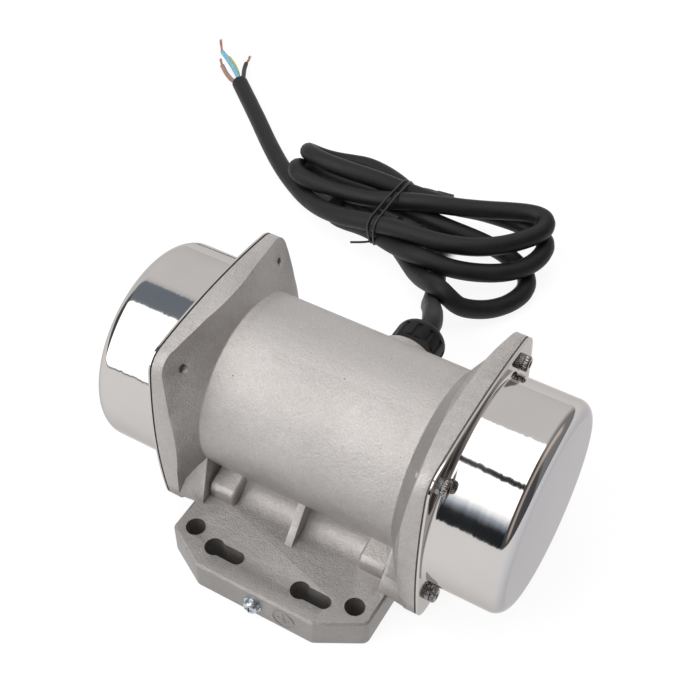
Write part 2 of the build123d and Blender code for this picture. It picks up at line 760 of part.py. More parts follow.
for side_name, side in SIDES:
    # Key of the fixed weight
    with BuildPart() as weight_key:
        key_height = shaft_key_sink + shaft_key_stand - shaft_key_clearance
        with BuildSketch(across(side * fixed_weight_x)):
            with Locations((0, shaft_end_radius - shaft_key_sink + key_height / 2)):
                Rectangle(shaft_key_width - 2 * shaft_key_clearance, key_height)
        extrude(amount=side * fixed_weight_thickness)
    save(weight_key, f"{side_name}_weight_key")

    # Fixed weight: a half disc below the shaft, with a hub that reaches back to the bearing
    with BuildPart() as fixed_weight:
        with BuildSketch(across(side * fixed_weight_x)):
            Circle(weight_radius)
            with Locations((0, weight_radius)):
                Rectangle(2 * weight_radius, 2 * weight_radius, mode=Mode.SUBTRACT)
            fillet(vertices(), radius=weight_corner_round)
            Circle(weight_hub_radius)
            Circle(shaft_end_radius, mode=Mode.SUBTRACT)
            with Locations((0, shaft_end_radius)):
                Rectangle(shaft_key_width, 2 * shaft_key_stand, mode=Mode.SUBTRACT)
        extrude(amount=side * fixed_weight_thickness)
        hub_radius = inner_race_radius - bearing_edge / 2
        revolve(ring(bearing_outer_x, fixed_weight_x, shaft_end_radius, hub_radius, side),
                axis=shaft_axis)
    save(fixed_weight, f"{side_name}_fixed_weight")

    # Adjustable weight: the same half disc with a slit clamp hub above
    with BuildPart() as adjustable_weight:
        with BuildSketch(across(side * adjustable_weight_x)):
            Circle(weight_radius)
            with Locations((0, weight_radius)):
                Rectangle(2 * weight_radius, 2 * weight_radius, mode=Mode.SUBTRACT)
            fillet(vertices(), radius=weight_corner_round)
            Circle(weight_hub_radius)
            with Locations((0, clamp_ear_top / 2)):
                Rectangle(2 * clamp_ear_half_width, clamp_ear_top)
            Circle(shaft_end_radius + adjustable_weight_clearance, mode=Mode.SUBTRACT)
            with Locations((0, clamp_ear_top / 2)):
                Rectangle(clamp_slit, clamp_ear_top, mode=Mode.SUBTRACT)
        extrude(amount=side * adjustable_weight_thickness)
        clamp_screw_x = side * (adjustable_weight_x + adjustable_weight_thickness / 2)
        clamp_plane = facing_back(-clamp_ear_half_width, clamp_screw_x, shaft_height + clamp_screw_height)
        with BuildSketch(clamp_plane):
            Circle(clamp_screw_radius + thread_clearance)
        extrude(amount=2 * clamp_ear_half_width, mode=Mode.SUBTRACT)
    save(adjustable_weight, f"{side_name}_adjustable_weight")

    # Clamp screw of the adjustable weight
    with BuildPart() as clamp_screw:
        with BuildSketch(clamp_plane):
            Circle(clamp_screw_head_radius)
        extrude(amount=-clamp_screw_head_height)
        with BuildSketch(clamp_plane):
            Circle(clamp_screw_radius)
        extrude(amount=2 * clamp_ear_half_width)
        with BuildSketch(clamp_plane.offset(-clamp_screw_head_height)):
            RegularPolygon(clamp_screw_key / 2, 6, major_radius=False)
        extrude(amount=clamp_screw_key_depth, mode=Mode.SUBTRACT)
    save(clamp_screw, f"{side_name}_clamp_screw")

    # Circlip that keeps the weights on the shaft
    with BuildPart() as shaft_circlip:
        with BuildSketch(across(side * circlip_x)):
            Circle(shaft_end_radius + circlip_reach)
            Circle(shaft_end_radius - circlip_sink, mode=Mode.SUBTRACT)
            with Locations((0, shaft_end_radius)):
                Rectangle(circlip_opening, 2 * circlip_reach, mode=Mode.SUBTRACT)
        extrude(amount=side * circlip_thickness)
    save(shaft_circlip, f"{side_name}_shaft_circlip")

# Earth screw with its plain and spring washers
with BuildPart() as earth_washers:
    with BuildSketch(earth_plane):
        Circle(earth_washer_radius)
        Circle(earth_screw_radius + screw_clearance, mode=Mode.SUBTRACT)
    extrude(amount=earth_washer_thickness)
    with BuildSketch(earth_plane.offset(earth_washer_thickness)):
        Circle(earth_spring_radius)
        Circle(earth_screw_radius + screw_clearance, mode=Mode.SUBTRACT)
        with Locations((earth_spring_radius, 0)):
            Rectangle(2 * earth_spring_radius, spring_washer_gap, mode=Mode.SUBTRACT)
    extrude(amount=earth_spring_thickness)
save(earth_washers, "earth_washers")

with BuildPart() as earth_screw:
    earth_seat = earth_washer_thickness + earth_spring_thickness
    with BuildSketch(earth_plane.offset(earth_seat)):
        Circle(earth_head_radius)
    extrude(amount=earth_head_height)
    head_rim = edges().filter_by(GeomType.CIRCLE).sort_by(Axis.Y)[0]
    fillet(head_rim, radius=earth_head_round)
    with BuildSketch(earth_plane.offset(earth_seat)):
        Circle(earth_screw_radius)
    extrude(amount=-(earth_seat + earth_screw_length))
    with BuildSketch(earth_plane.offset(earth_seat + earth_head_height)):
        Rectangle(earth_cross_length, earth_cross_width)
        Rectangle(earth_cross_width, earth_cross_length)
    extrude(amount=-earth_cross_depth, mode=Mode.SUBTRACT)
save(earth_screw, "earth_screw")

# Cable gland: a hexagon body screwed into the pad, a domed nut and a rubber seal round the cable
gland_seal_radius = cable_radius + cable_clearance + gland_seal_wall
with BuildPart() as gland_body:
    with BuildSketch(facing_back(gland_pad_reach, gland_x, shaft_height)):
        RegularPolygon(gland_hex_width / 2, 6, major_radius=False)
    extrude(amount=gland_hex_length)
    with BuildSketch(facing_back(gland_pad_reach, gland_x, shaft_height)):
        Circle(gland_thread_radius)
    extrude(amount=-(gland_pad_reach - barrel_radius))
    with BuildSketch(facing_back(gland_pad_reach + gland_hex_length, gland_x, shaft_height)):
        Circle(gland_thread_radius)
    extrude(amount=gland_nut_length / 2)
    with BuildSketch(facing_back(barrel_radius, gland_x, shaft_height)):
        Circle(cable_radius + cable_clearance)
    extrude(amount=gland_nut_end_y, mode=Mode.SUBTRACT)
save(gland_body, "gland_body")

with BuildPart() as gland_nut:
    nut_profile = [
        (gland_nut_y, gland_thread_radius + thread_clearance),
        (gland_nut_y, gland_nut_radius),
        (gland_nut_end_y, gland_nut_radius),
        (gland_nut_end_y, gland_seal_radius + thread_clearance),
        (gland_nut_y + gland_nut_length / 2, gland_seal_radius + thread_clearance),
        (gland_nut_y + gland_nut_length / 2, gland_thread_radius + thread_clearance),
    ]
    with BuildSketch(gland_plane):
        with BuildLine():
            Polyline(*nut_profile, close=True)
        make_face()
        dome = vertices().sort_by(lambda corner: corner.X + corner.Y)[-1]
        fillet(dome, radius=gland_nut_round - thread_clearance)
    revolve(axis=gland_axis)
    with BuildSketch(facing_back(gland_nut_y, gland_x, shaft_height)):
        with PolarLocations(gland_nut_radius + gland_nut_grip_radius - gland_nut_grip_bite,
                            gland_nut_grip_count):
            Circle(gland_nut_grip_radius)
    extrude(amount=gland_nut_grip_length, mode=Mode.SUBTRACT)
save(gland_nut, "gland_nut")

with BuildPart() as gland_seal:
    with BuildSketch(facing_back(gland_nut_end_y - gland_seal_length, gland_x, shaft_height)):
        Circle(gland_seal_radius)
        Circle(cable_radius + cable_clearance, mode=Mode.SUBTRACT)
    extrude(amount=gland_seal_length + gland_seal_stand)
save(gland_seal, "gland_seal")


def corner_radii(points):
    """The radius of each corner's arc, a share of the shorter run beside it."""
    radii = []
    for before, corner, after in zip(points, points[1:], points[2:]):
        first_run = Vector(corner) - Vector(before)
        second_run = Vector(after) - Vector(corner)
        half_turn = radians(first_run.get_angle(second_run) / 2)
        radii.append(corner_share * min(first_run.length, second_run.length) / tan(half_turn))
    return radii


def hank_face(section, growth=0.0):
    """A section across the hank: flat below, stepped up from its front, with round corners."""
    x, front, back, floor_gap, front_height, top, top_start = section
    with BuildSketch(Plane.YZ.offset(x)) as face:
        with BuildLine():
            Polyline((front, floor_gap), (back, floor_gap), (back, top), (top_start, top),
                     (front, front_height), close=True)
        make_face()
        fillet(face.vertices(), radius=hank_section_round)
        if growth > 0:
            offset(amount=growth)
    return face.sketch


# Tied hank of the cable, as one closed form
with BuildPart() as cable_hank:
    loft([hank_face(section) for section in hank_sections])
save(cable_hank, "cable_hank")

# Wire tie round the hank's waist
with BuildPart() as cable_tie:
    extrude(hank_face(hank_waist, tie_clearance + tie_wall), amount=tie_width / 2, both=True)
    extrude(hank_face(hank_waist, tie_clearance), amount=tie_width / 2, both=True, mode=Mode.SUBTRACT)
save(cable_tie, "cable_tie")

# The cable's free stretches, ending where they meet the hank
for name, route in (("supply_cable", cable_route), ("cable_tail", tail_route)):
    radii = corner_radii(route)
    print(name, "arc radii", [round(radius, 1) for radius in radii])
    with BuildPart() as cable:
        with BuildLine() as path:
            FilletPolyline(*route, radius=radii)
        with BuildSketch(Plane(origin=path.line @ 0, z_dir=path.line % 0)):
            Circle(cable_radius)
        sweep()
        route_length = sum(run.length for run in path.edges())
        print(name, "length", round(route_length, 1), "volume over section times length",
              round(cable.part.volume / (pi * cable_radius**2 * route_length), 5))
        add(cable_hank.part, mode=Mode.SUBTRACT)
    save(cable, name)

# Cores and their bare ends
for colour, route in core_routes.items():
    with BuildPart() as core:
        with BuildLine() as path:
            FilletPolyline(*route, radius=corner_radii(route))
        with BuildSketch(Plane(origin=path.line @ 0, z_dir=path.line % 0)):
            Circle(core_radius)
        sweep()
    save(core, f"core_{colour}")

for colour, route in wire_routes.items():
    with BuildPart() as wire:
        with BuildLine() as path:
            FilletPolyline(*route, radius=corner_radii(route))
        with BuildSketch(Plane(origin=path.line @ 0, z_dir=path.line % 0)):
            Circle(wire_radius)
        sweep()
    save(wire, f"bare_wire_{colour}")
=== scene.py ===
# %% [markdown]
# # A vibration motor with a tied supply cable
# The frame brings the solids of the motor in metres, with +Z up and the shaft along X.
# This lesson dresses them: every piece keeps its place, and gets its rounded edges,
# its small parts and its finish.

# %% Load the frame
import bpy
import bmesh
import math
import random
from mathutils import Matrix, Vector
from mathutils.geometry import convex_hull_2d


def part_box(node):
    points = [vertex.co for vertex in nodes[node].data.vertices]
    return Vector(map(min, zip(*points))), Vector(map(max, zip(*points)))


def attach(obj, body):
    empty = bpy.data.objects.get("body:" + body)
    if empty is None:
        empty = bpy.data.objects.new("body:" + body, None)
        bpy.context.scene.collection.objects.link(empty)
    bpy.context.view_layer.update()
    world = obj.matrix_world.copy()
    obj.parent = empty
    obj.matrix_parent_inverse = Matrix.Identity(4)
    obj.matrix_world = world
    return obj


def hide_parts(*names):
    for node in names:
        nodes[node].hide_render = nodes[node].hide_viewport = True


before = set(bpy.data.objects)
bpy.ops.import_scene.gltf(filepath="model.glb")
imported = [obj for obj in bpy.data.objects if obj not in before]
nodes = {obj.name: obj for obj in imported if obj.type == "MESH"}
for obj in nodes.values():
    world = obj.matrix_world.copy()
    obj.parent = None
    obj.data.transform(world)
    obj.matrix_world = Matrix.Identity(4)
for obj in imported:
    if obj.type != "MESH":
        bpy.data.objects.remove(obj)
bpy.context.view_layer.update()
sides = {"left": -1, "right": 1}
cores = ("brown", "blue", "earth", "black")
shaft_z, barrel_radius = 0.0538, 0.0415
print("pieces from the solids:", len(nodes))

# %% [markdown]
# Every new part is an object linked to the scene. A part that has modifiers becomes a
# plain mesh as soon as they have done their work, and takes over from a solid: it rides
# on the housing's body and hides the solid.

# %% Shared steps
def add_object(name, data):
    """A new object at the origin, linked to the scene."""
    piece = bpy.data.objects.new(name, data)
    bpy.context.scene.collection.objects.link(piece)
    return piece


def plain_mesh(piece):
    """The mesh of an object with its modifiers, or its bevelled line, worked in."""
    return bpy.data.meshes.new_from_object(piece.evaluated_get(bpy.context.evaluated_depsgraph_get()))


def apply_modifiers(piece):
    """The object keeps its worked-in shape as a plain mesh."""
    done = plain_mesh(piece)
    piece.modifiers.clear()
    piece.data = done


def mesh_from(skin, name):
    """The mesh of a finished bmesh, which is freed."""
    mesh = bpy.data.meshes.new(name)
    skin.to_mesh(mesh)
    skin.free()
    return mesh


def take_over(piece, slot, *solids):
    """The piece stands for these solids on the housing."""
    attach(piece, "housing")
    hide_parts(*solids)


print("shaft at", shaft_z, "m")

# %% [markdown]
# ## The camera
# The photograph looks down on the motor from its front right, with a mild telephoto
# lens. The camera is placed by its distance from a point between the flanges, and
# turned by three directions: right, up and back.

# %% Camera
azimuth, elevation, roll = math.radians(29.18), math.radians(46.85), math.radians(0.93)
look_at = Vector((-0.01764, 0.03755, 0.05381))
camera_distance = 0.5776
back = Vector((math.sin(azimuth) * math.cos(elevation),
               -math.cos(azimuth) * math.cos(elevation), math.sin(elevation)))
level_right = Vector((math.cos(azimuth), math.sin(azimuth), 0))
level_up = back.cross(level_right)
right = level_right * math.cos(roll) + level_up * math.sin(roll)
up = level_up * math.cos(roll) - level_right * math.sin(roll)
lens = bpy.data.cameras.new("photo_camera")
lens.lens = 64.06
lens.sensor_width = 36
lens.clip_start = 0.01
camera = add_object("photo_camera", lens)
camera.matrix_world = Matrix.Translation(look_at + back * camera_distance) @ Matrix(
    (right, up, back)).transposed().to_4x4()
bpy.context.scene.camera = camera
bpy.context.scene.view_settings.view_transform = "Standard"
print("camera at", [round(c, 3) for c in camera.location])

# %% [markdown]
# ## A way to write finishes
# A finish is a small sum: a speckle here, a smudge there. The class below lets a
# shader socket stand in such a sum, so that masks are written as they are thought of.

# %% Shader sums
class Signal:
    """A shader socket that takes part in sums."""

    def __init__(self, finish, socket):
        self.finish, self.socket = finish, socket

    def join(self, operation, first, second):
        return self.finish.node("ShaderNodeMath", {"operation": operation}, {0: first, 1: second})

    def __add__(self, other):
        return self.join("ADD", self, other)

    def __radd__(self, other):
        return self.join("ADD", other, self)

    def __sub__(self, other):
        return self.join("SUBTRACT", self, other)

    def __rsub__(self, other):
        return self.join("SUBTRACT", other, self)

    def __mul__(self, other):
        return self.join("MULTIPLY", self, other)

    def __rmul__(self, other):
        return self.join("MULTIPLY", other, self)

    def __or__(self, other):
        return self.join("MAXIMUM", self, other)

    def __gt__(self, other):
        return self.join("GREATER_THAN", self, other)


class Finish:
    """A material in the making, on Object coordinates, or the world's light in its own tree."""

    def __init__(self, name, owner=None, place="Object"):
        self.material = owner or bpy.data.materials.new(name)
        self.material.use_nodes = True
        self.tree = self.material.node_tree
        self.tree.nodes.clear()
        self.place = self.node("ShaderNodeTexCoord", out=place)

    def node(self, kind, settings=None, values=None, out=0):
        """A new shader node with its settings and inputs; one of its outputs is returned."""
        made = self.tree.nodes.new(kind)
        for key, value in (settings or {}).items():
            if key == "stops":
                ramp = made.color_ramp
                while len(ramp.elements) < len(value):
                    ramp.elements.new(0.5)
                for stop, (spot, tone) in zip(ramp.elements, value):
                    stop.position = spot
                    stop.color = (*tone, 1) if hasattr(tone, "__len__") else (tone, tone, tone, 1)
            else:
                setattr(made, key, value)
        for key, value in (values or {}).items():
            socket = made.inputs[key]
            if isinstance(value, Signal):
                self.tree.links.new(value.socket, socket)
            elif hasattr(value, "__len__") and len(value) == 3 and socket.type == "RGBA":
                socket.default_value = (*value, 1)
            else:
                socket.default_value = value
        return Signal(self, made.outputs[out])

    def noise(self, scale, detail=3.0, roughness=0.55, where=None):
        return self.node("ShaderNodeTexNoise", None, {
            "Vector": where or self.place, "Scale": scale, "Detail": detail, "Roughness": roughness})

    def ramp(self, amount, *stops):
        return self.node("ShaderNodeValToRGB", {"stops": stops}, {"Fac": amount})

    def band(self, amount, low, high, bottom=0.0, top=1.0):
        return self.node("ShaderNodeMapRange", {"clamp": True}, {
            "Value": amount, "From Min": low, "From Max": high, "To Min": bottom, "To Max": top})

    def mix(self, amount, first, second):
        return self.node("ShaderNodeMix", {"data_type": "RGBA"}, {0: amount, 6: first, 7: second}, 2)

    def stretch(self, x, y, z):
        return self.node("ShaderNodeMapping", None, {"Vector": self.place, "Scale": (x, y, z)})

    def smooth(self, amount, low, high, bottom=0.0, top=1.0):
        return self.node("ShaderNodeMapRange", {"clamp": True, "interpolation_type": "SMOOTHSTEP"}, {
            "Value": amount, "From Min": low, "From Max": high, "To Min": bottom, "To Max": top})

    def size(self, amount):
        return self.node("ShaderNodeMath", {"operation": "ABSOLUTE"}, {0: amount})

    def turn_about_shaft(self, y, z):
        """The angle from straight up in degrees, front positive."""
        angle = self.node("ShaderNodeMath", {"operation": "ARCTAN2"}, {0: y * -1.0, 1: z})
        return angle * math.degrees(1)

    def axes(self):
        parts = self.node("ShaderNodeSeparateXYZ", None, {"Vector": self.place})
        return [Signal(self, parts.socket.node.outputs[k]) for k in range(3)]

    def bump(self, height, strength, distance, under=None):
        values = {"Height": height, "Strength": strength, "Distance": distance}
        if under:
            values["Normal"] = under
        return self.node("ShaderNodeBump", None, values)

    def sway(self, amount, under=None):
        """Tip the normal about the shaft's direction by a small varying amount."""
        vector = "ShaderNodeVectorMath"
        facing = under or self.node("ShaderNodeNewGeometry", out="Normal")
        along = self.node(vector, {"operation": "CROSS_PRODUCT"}, {0: (1.0, 0.0, 0.0), 1: facing})
        shift = self.node(vector, {"operation": "SCALE"}, {0: along, "Scale": amount})
        return self.node(vector, {"operation": "NORMALIZE"}, {
            0: self.node(vector, {"operation": "ADD"}, {0: facing, 1: shift})})

    def surface(self, **values):
        shader = self.node("ShaderNodeBsdfPrincipled", None,
                           {key.replace("_", " "): value for key, value in values.items()})
        return self.show(shader)

    def show(self, shader, kind="ShaderNodeOutputMaterial"):
        """The finish ends in this shader."""
        self.tree.links.new(shader.socket, self.tree.nodes.new(kind).inputs["Surface"])
        return self.material


def tone(red, green, blue):
    """A colour as a screen shows it, 0 to 255, as the shader's linear numbers."""
    return tuple((c / 255 / 12.92) if c <= 10 else ((c / 255 + 0.055) / 1.055) ** 2.4
                 for c in (red, green, blue))


def dress(material, *names):
    """The material becomes the only one on these solids."""
    for name in names:
        mesh = nodes[name].data
        mesh.materials.clear()
        mesh.materials.append(material)


print("mid grey is", [round(c, 3) for c in tone(128, 128, 128)])

# %% [markdown]
# ## The supply cable
# One rubber cable comes out of the gland, drops to the floor, runs under its own
# loops, and is wound back and forth into a hank held by a wire tie. A limp cable lies
# in soft curves, so one NURBS line is pulled along by points in millimetres. The points
# are listed from the bare end back to the gland, one stretch at a time.

# %% The cable's line
cable_diameter = 0.010
soft_swell = 1.03
tail = [(-219, 246.5, 5.2), (-191, 222.5, 5.2), (-168, 201.5, 5.2), (-146, 183.5, 5.6),
        (-121.5, 168, 6.5), (-103.5, 158.5, 12.3), (-89, 155, 16.5), (-76.5, 154.5, 19.8)]
top_loop = [(-64.5, 154, 22.5), (-52.5, 153.5, 24.7), (-40, 153, 25.5), (-27.5, 154, 25.8),
            (-17, 157, 25.9), (-7.5, 161.5, 25.9), (1.5, 168.5, 25.8), (9, 177, 26),
            (15.5, 186.5, 26.4), (16.5, 195, 26.6), (12, 200.5, 26.8), (4, 200.5, 26.2),
            (-6.5, 197, 25.5), (-18, 192, 25.1), (-30, 187, 25), (-42.5, 182.5, 25.2),
            (-54.5, 179, 24.6), (-66.5, 176.5, 22.1)]
first_fold = [(-79, 175, 19), (-92.5, 174, 17.1), (-105.5, 173.5, 16.2), (-117.5, 173, 16.2),
              (-125.5, 173, 16.6), (-132.5, 175.5, 17), (-135.5, 181.5, 15.6), (-134, 187, 10.9),
              (-127, 190, 7.1), (-118, 191, 5.2), (-107.5, 191.5, 4.9), (-96.5, 191, 5.8),
              (-84.5, 189, 7.7), (-73, 185.5, 10.1)]
low_loop = [(-61, 182, 12.8), (-48.5, 179, 15.3), (-35.5, 178.5, 14.7), (-24, 180, 13.1),
            (-13, 181.5, 11), (-2, 181.5, 9.1), (8.5, 179, 7.2), (17.5, 173, 5.8),
            (20.5, 163, 5.1), (17.5, 151.5, 5), (11.5, 141.5, 5.9), (4.5, 133.5, 8.6),
            (-2.5, 127, 13), (-8, 125, 18.9), (-15, 127, 21.2), (-24, 132, 16.4),
            (-34, 140.5, 9.8), (-42.5, 148.5, 7.1), (-51, 156, 5.4), (-60, 163, 5),
            (-69, 169, 5.1)]
second_fold = [(-78.5, 174.5, 5), (-88, 178.5, 5.1), (-96.5, 181.5, 5), (-103, 177.5, 5.2),
               (-104.5, 170.5, 5.2), (-100, 164.5, 4.9), (-91.5, 162.5, 6.5), (-82, 161, 8.9),
               (-71, 158.5, 10.6)]
middle_loop = [(-60, 153, 12.9), (-48, 148, 16.2), (-35, 144.5, 19.7), (-23, 145, 18.7),
               (-12.5, 148, 17.3), (-3, 152.5, 16.4), (6.5, 158.5, 15.9), (14, 166, 15.8),
               (19, 175, 16.1), (20.5, 185.5, 16.7), (17.5, 194, 16.4), (9.5, 199.5, 15),
               (-1, 202, 14.5), (-13, 201.5, 14.7), (-26, 199.5, 15.3), (-39, 195.5, 15.6),
               (-52.5, 192, 17.4), (-65.5, 189, 20)]
last_fold = [(-77.5, 187, 22.1), (-89, 185.5, 23.7), (-101.5, 184, 24.2), (-114.5, 184, 24.2),
             (-125, 186, 23.1), (-132, 189.5, 21.6), (-136, 195, 17.5), (-135, 200.5, 12.2),
             (-130.5, 205, 8), (-123.5, 209, 5.6), (-115.5, 212, 5.2), (-106, 214.5, 5.3),
             (-94.5, 213.5, 5), (-83.5, 210, 5.2)]
under_run = [(-73, 205, 5.4), (-63, 198.5, 5.5), (-54, 190.5, 5.3), (-46, 181.5, 5),
             (-39, 172, 5.1), (-32.5, 162, 5), (-27.5, 152, 5.1), (-23, 142, 5)]
rise = [(-19.5, 131.5, 6.9), (-16.5, 121.5, 11.3), (-10.5, 109.5, 23.4), (-3.5, 96, 36.2),
        (2.5, 83, 46.7), (8, 71, 53.8), (8, 52, 53.8)]
cable_points = (tail + top_loop + first_fold + low_loop + second_fold + middle_loop
                + last_fold + under_run + rise)


def smooth_line(name, points, diameter, sections=6):
    """One open NURBS spline through space, with a round section."""
    curve = bpy.data.curves.new(name, "CURVE")
    curve.dimensions = "3D"
    curve.resolution_u = sections
    curve.bevel_depth = diameter / 2 * soft_swell
    curve.bevel_resolution = 5
    curve.use_fill_caps = True
    spline = curve.splines.new("NURBS")
    spline.points.add(len(points) - 1)
    for point, place in zip(spline.points, points):
        point.co = (*[c / 1000 for c in place], 1)
    spline.order_u = 3
    spline.use_endpoint_u = True
    return add_object(name, curve)


def line_length(piece):
    """The length of a curve's own line, and the places along it."""
    bare = piece.data.copy()
    bare.bevel_depth = 0
    probe = bpy.data.objects.new("probe", bare)
    mesh = bpy.data.meshes.new_from_object(probe)
    spots = [v.co.copy() for v in mesh.vertices]
    bpy.data.objects.remove(probe)
    bpy.data.meshes.remove(mesh)
    return sum((b - a).length for a, b in zip(spots, spots[1:])), spots


cable = smooth_line("supply_cable_run", cable_points, cable_diameter)
cable_length, cable_spots = line_length(cable)
print("cable length", round(cable_length, 4), "m in", len(cable_points), "points")

# %% [markdown]
# Rubber-sheathed cable is dull, with a faint dusty bloom and the fine drag marks of the
# extruder. The sheath is nearly black, so its roughness carries most of what is seen.

# %% Rubber
rubber = Finish("cable_rubber")
dust = rubber.noise(90, 4)
grain = rubber.noise(2600, 2)
cable_rubber = rubber.surface(
    Base_Color=rubber.mix(rubber.band(dust, 0.35, 0.7), tone(17, 18, 20), tone(27, 28, 30)),
    Roughness=rubber.band(dust + grain * 0.4, 0.4, 0.95, 0.42, 0.6),
    Specular_IOR_Level=0.3,
    Normal=rubber.bump(grain, 0.25, 0.0003))
cable.data.materials.append(cable_rubber)
dress(cable_rubber, "supply_cable", "cable_hank", "cable_tail")
print("rubber on", cable.name)

# %% [markdown]
# ## The floor
# A wide pale floor takes the shadow, and glows where it is seen so that it comes out
# white. A glowing floor has no shade of its own. Under the foot and between the close
# strands of the hank a real floor gets hardly any light, so the glow is held back there.

# %% Floor
floor_mesh = bpy.data.meshes.new("floor")
reach = 20.0
floor_mesh.from_pydata([(-reach, -reach, 0), (reach, -reach, 0), (reach, reach, 0), (-reach, reach, 0)],
                       [], [(0, 1, 2, 3)])
floor = add_object("floor", floor_mesh)
paper = Finish("floor_paper")
under_x, under_y = paper.axes()[:2]
floor_grey, floor_glow, unlit_grey = (0.14, 0.14, 0.14), 0.9, (0.02, 0.02, 0.02)
foot_half_x, foot_half_y, corner_slope, corner_reach, foot_edge = 0.0465, 0.0725, 0.563, 0.0895, 0.001
matt = paper.node("ShaderNodeBsdfDiffuse", None, {"Color": floor_grey})
wide_x, wide_y = paper.size(under_x), paper.size(under_y)
open_floor = (paper.smooth(wide_x, foot_half_x, foot_half_x + foot_edge)
              | paper.smooth(wide_y, foot_half_y, foot_half_y + foot_edge)
              | paper.smooth(wide_x * corner_slope + wide_y, corner_reach, corner_reach + foot_edge))


def held_back(start, end, width):
    """1 on the open floor, 0 along a line between two close strands of the hank."""
    (x1, y1), (x2, y2) = start, end
    span = math.hypot(x2 - x1, y2 - y1)
    go_x, go_y = (x2 - x1) / span, (y2 - y1) / span
    from_x, from_y = under_x - (x1 + x2) / 2, under_y - (y1 + y2) / 2
    along_line = paper.size(from_x * go_x + from_y * go_y)
    off_line = paper.size(from_x * -go_y + from_y * go_x)
    return (paper.smooth(along_line, span / 2, span / 2 + width)
            | paper.smooth(off_line, width * 0.6, width))


open_floor = (open_floor * held_back((-0.126, 0.1815), (-0.056, 0.1875), 0.010)
              * held_back((-0.0595, 0.1715), (-0.033, 0.1695), 0.007)
              * held_back((-0.040, 0.1560), (-0.030, 0.1560), 0.006))
white = paper.node("ShaderNodeEmission", None, {
    "Color": paper.mix(open_floor, unlit_grey, (1, 1, 1)), "Strength": floor_glow})
seen = (paper.node("ShaderNodeLightPath", out="Is Camera Ray")
        + paper.node("ShaderNodeLightPath", out="Is Glossy Ray")
        + paper.node("ShaderNodeLightPath", out="Is Transmission Ray"))
glowing = paper.node("ShaderNodeAddShader", None, {0: matt, 1: white})
floor_mesh.materials.append(paper.show(
    paper.node("ShaderNodeMixShader", None, {0: seen, 1: matt, 2: glowing})))
print("floor half width", reach)

# %% [markdown]
# ## The light
# There is no lamp. The studio is painted on the world as it would be built: a pale
# ceiling, a bright panel overhead and one in front of it with a slit between them, and
# an unlit strip low in front. Polished metal is only as good as what it mirrors, so the edges of the
# panels are sharp. Angles are measured about the shaft from straight up, front positive.

# %% The studio
world = bpy.data.worlds.new("studio")
bpy.context.scene.world = world
studio = Finish("studio", world, "Generated")
to_x, to_y, to_z = studio.axes()
tilt = studio.turn_about_shaft(to_y, to_z)
panel_light, wall_light, ceiling_light, strip_light = 2.9, 0.10, 0.76, 0.55
unlit_light, low_front_light = 0.03, 0.26


def between(low, high, soft=0.8):
    """A mask that is 1 where the angle lies between two others."""
    return (studio.smooth(tilt, low - soft, low + soft)
            * studio.smooth(tilt, high - soft, high + soft, 1.0, 0.0))


# what the left cap mirrors lies leftward; the two caps see their own panels
leftward = studio.smooth(to_x, -0.36, -0.30, 1.0, 0.0)
wide = studio.smooth(to_x, -0.8, -0.75) * studio.smooth(to_x, 0.05, 0.15, 1.0, 0.0)
rightward = 1 - leftward
overhead = between(-22, 21.5) * rightward
streaks = studio.noise(14.0, 2, 0.6, studio.stretch(9.0, 1.0, 1.0)) * 16 - 8
fading_front = studio.smooth(tilt, 27, 28.5) * studio.smooth(tilt + streaks, 44, 76, 1.0, 0.0)
front_panel = between(13.5, 88.2) * leftward + fading_front * rightward
unlit = (between(-14, 13.5) * leftward + between(21.5, 26.5) * rightward
         + between(60, 99, 6) * rightward + between(88.2, 91, 0.5) * leftward) * wide
panels = (overhead + front_panel) * wide
ceiling = between(-115, -10, 12) * studio.smooth(to_x, -0.05, 0.3, 1.0, 0.25)
far_strip = studio.smooth(to_x, 0.34, 0.42) * studio.smooth(to_x, 0.52, 0.66, 1.0, 0.0) * between(-60, 80, 8)
glow = (panels * panel_light + (1 - panels) * (1 - unlit) * (wall_light + ceiling * ceiling_light)
        + far_strip * strip_light)
low_front = leftward * low_front_light * studio.smooth(tilt, 60, 80, 1.0, 0.0)
wall_tone, strip_tone, unlit_tone = (1.0, 0.985, 0.975), (1.0, 0.86, 0.78), (0.75, 0.86, 1.0)
sky = studio.node("ShaderNodeBackground", None, {
    "Color": studio.mix(unlit * (1 - panels), studio.mix(far_strip, wall_tone, strip_tone), unlit_tone),
    "Strength": glow + unlit * (unlit_light + low_front)})
studio.show(sky, "ShaderNodeOutputWorld")
print("panels", panel_light, "walls", wall_light)

# %% [markdown]
# ## Finishes of the metal
# The barrel is a sand casting: grey aluminium with a fine pebbled skin and bright
# grains in it. Shade is painted into its colour on the right flare beside the barrel and
# on the foot, and the skin is smoother where a rating plate would go. Each of these is a
# mask on the casting's own measures.

# %% Cast aluminium
cast = Finish("cast_aluminium")
at_x, at_y, at_z = cast.axes()
from_shaft = at_z - shaft_z
turn = cast.turn_about_shaft(at_y, from_shaft)
far_x = cast.size(at_x)
out_from_shaft = cast.node("ShaderNodeVectorMath", {"operation": "LENGTH"}, {
    0: cast.node("ShaderNodeCombineXYZ", None, {"Y": at_y, "Z": from_shaft})}, "Value")
grit = cast.noise(2300, 2, 0.6)
pebble = cast.noise(1000, 3, 0.6)
mottle = cast.noise(260, 4, 0.6)
cloud = cast.noise(30, 3)
pits = cast.noise(620, 1)
# painted shade: the flare beside the barrel is darkened in colour, on the right side only
flare = (cast.smooth(far_x, 0.0470, 0.0478) * cast.smooth(far_x, 0.0550, 0.0556, 1.0, 0.0)
         * cast.smooth(out_from_shaft, 0.0535, 0.0542, 1.0, 0.0))
plate_field = (cast.smooth(far_x, 0.0415, 0.0435, 1.0, 0.0) * cast.smooth(turn, 15.0, 16.2, 1.0, 0.0)
               * cast.smooth(turn, -60.0, -50.0) * cast.smooth(out_from_shaft, 0.0410, 0.0412))
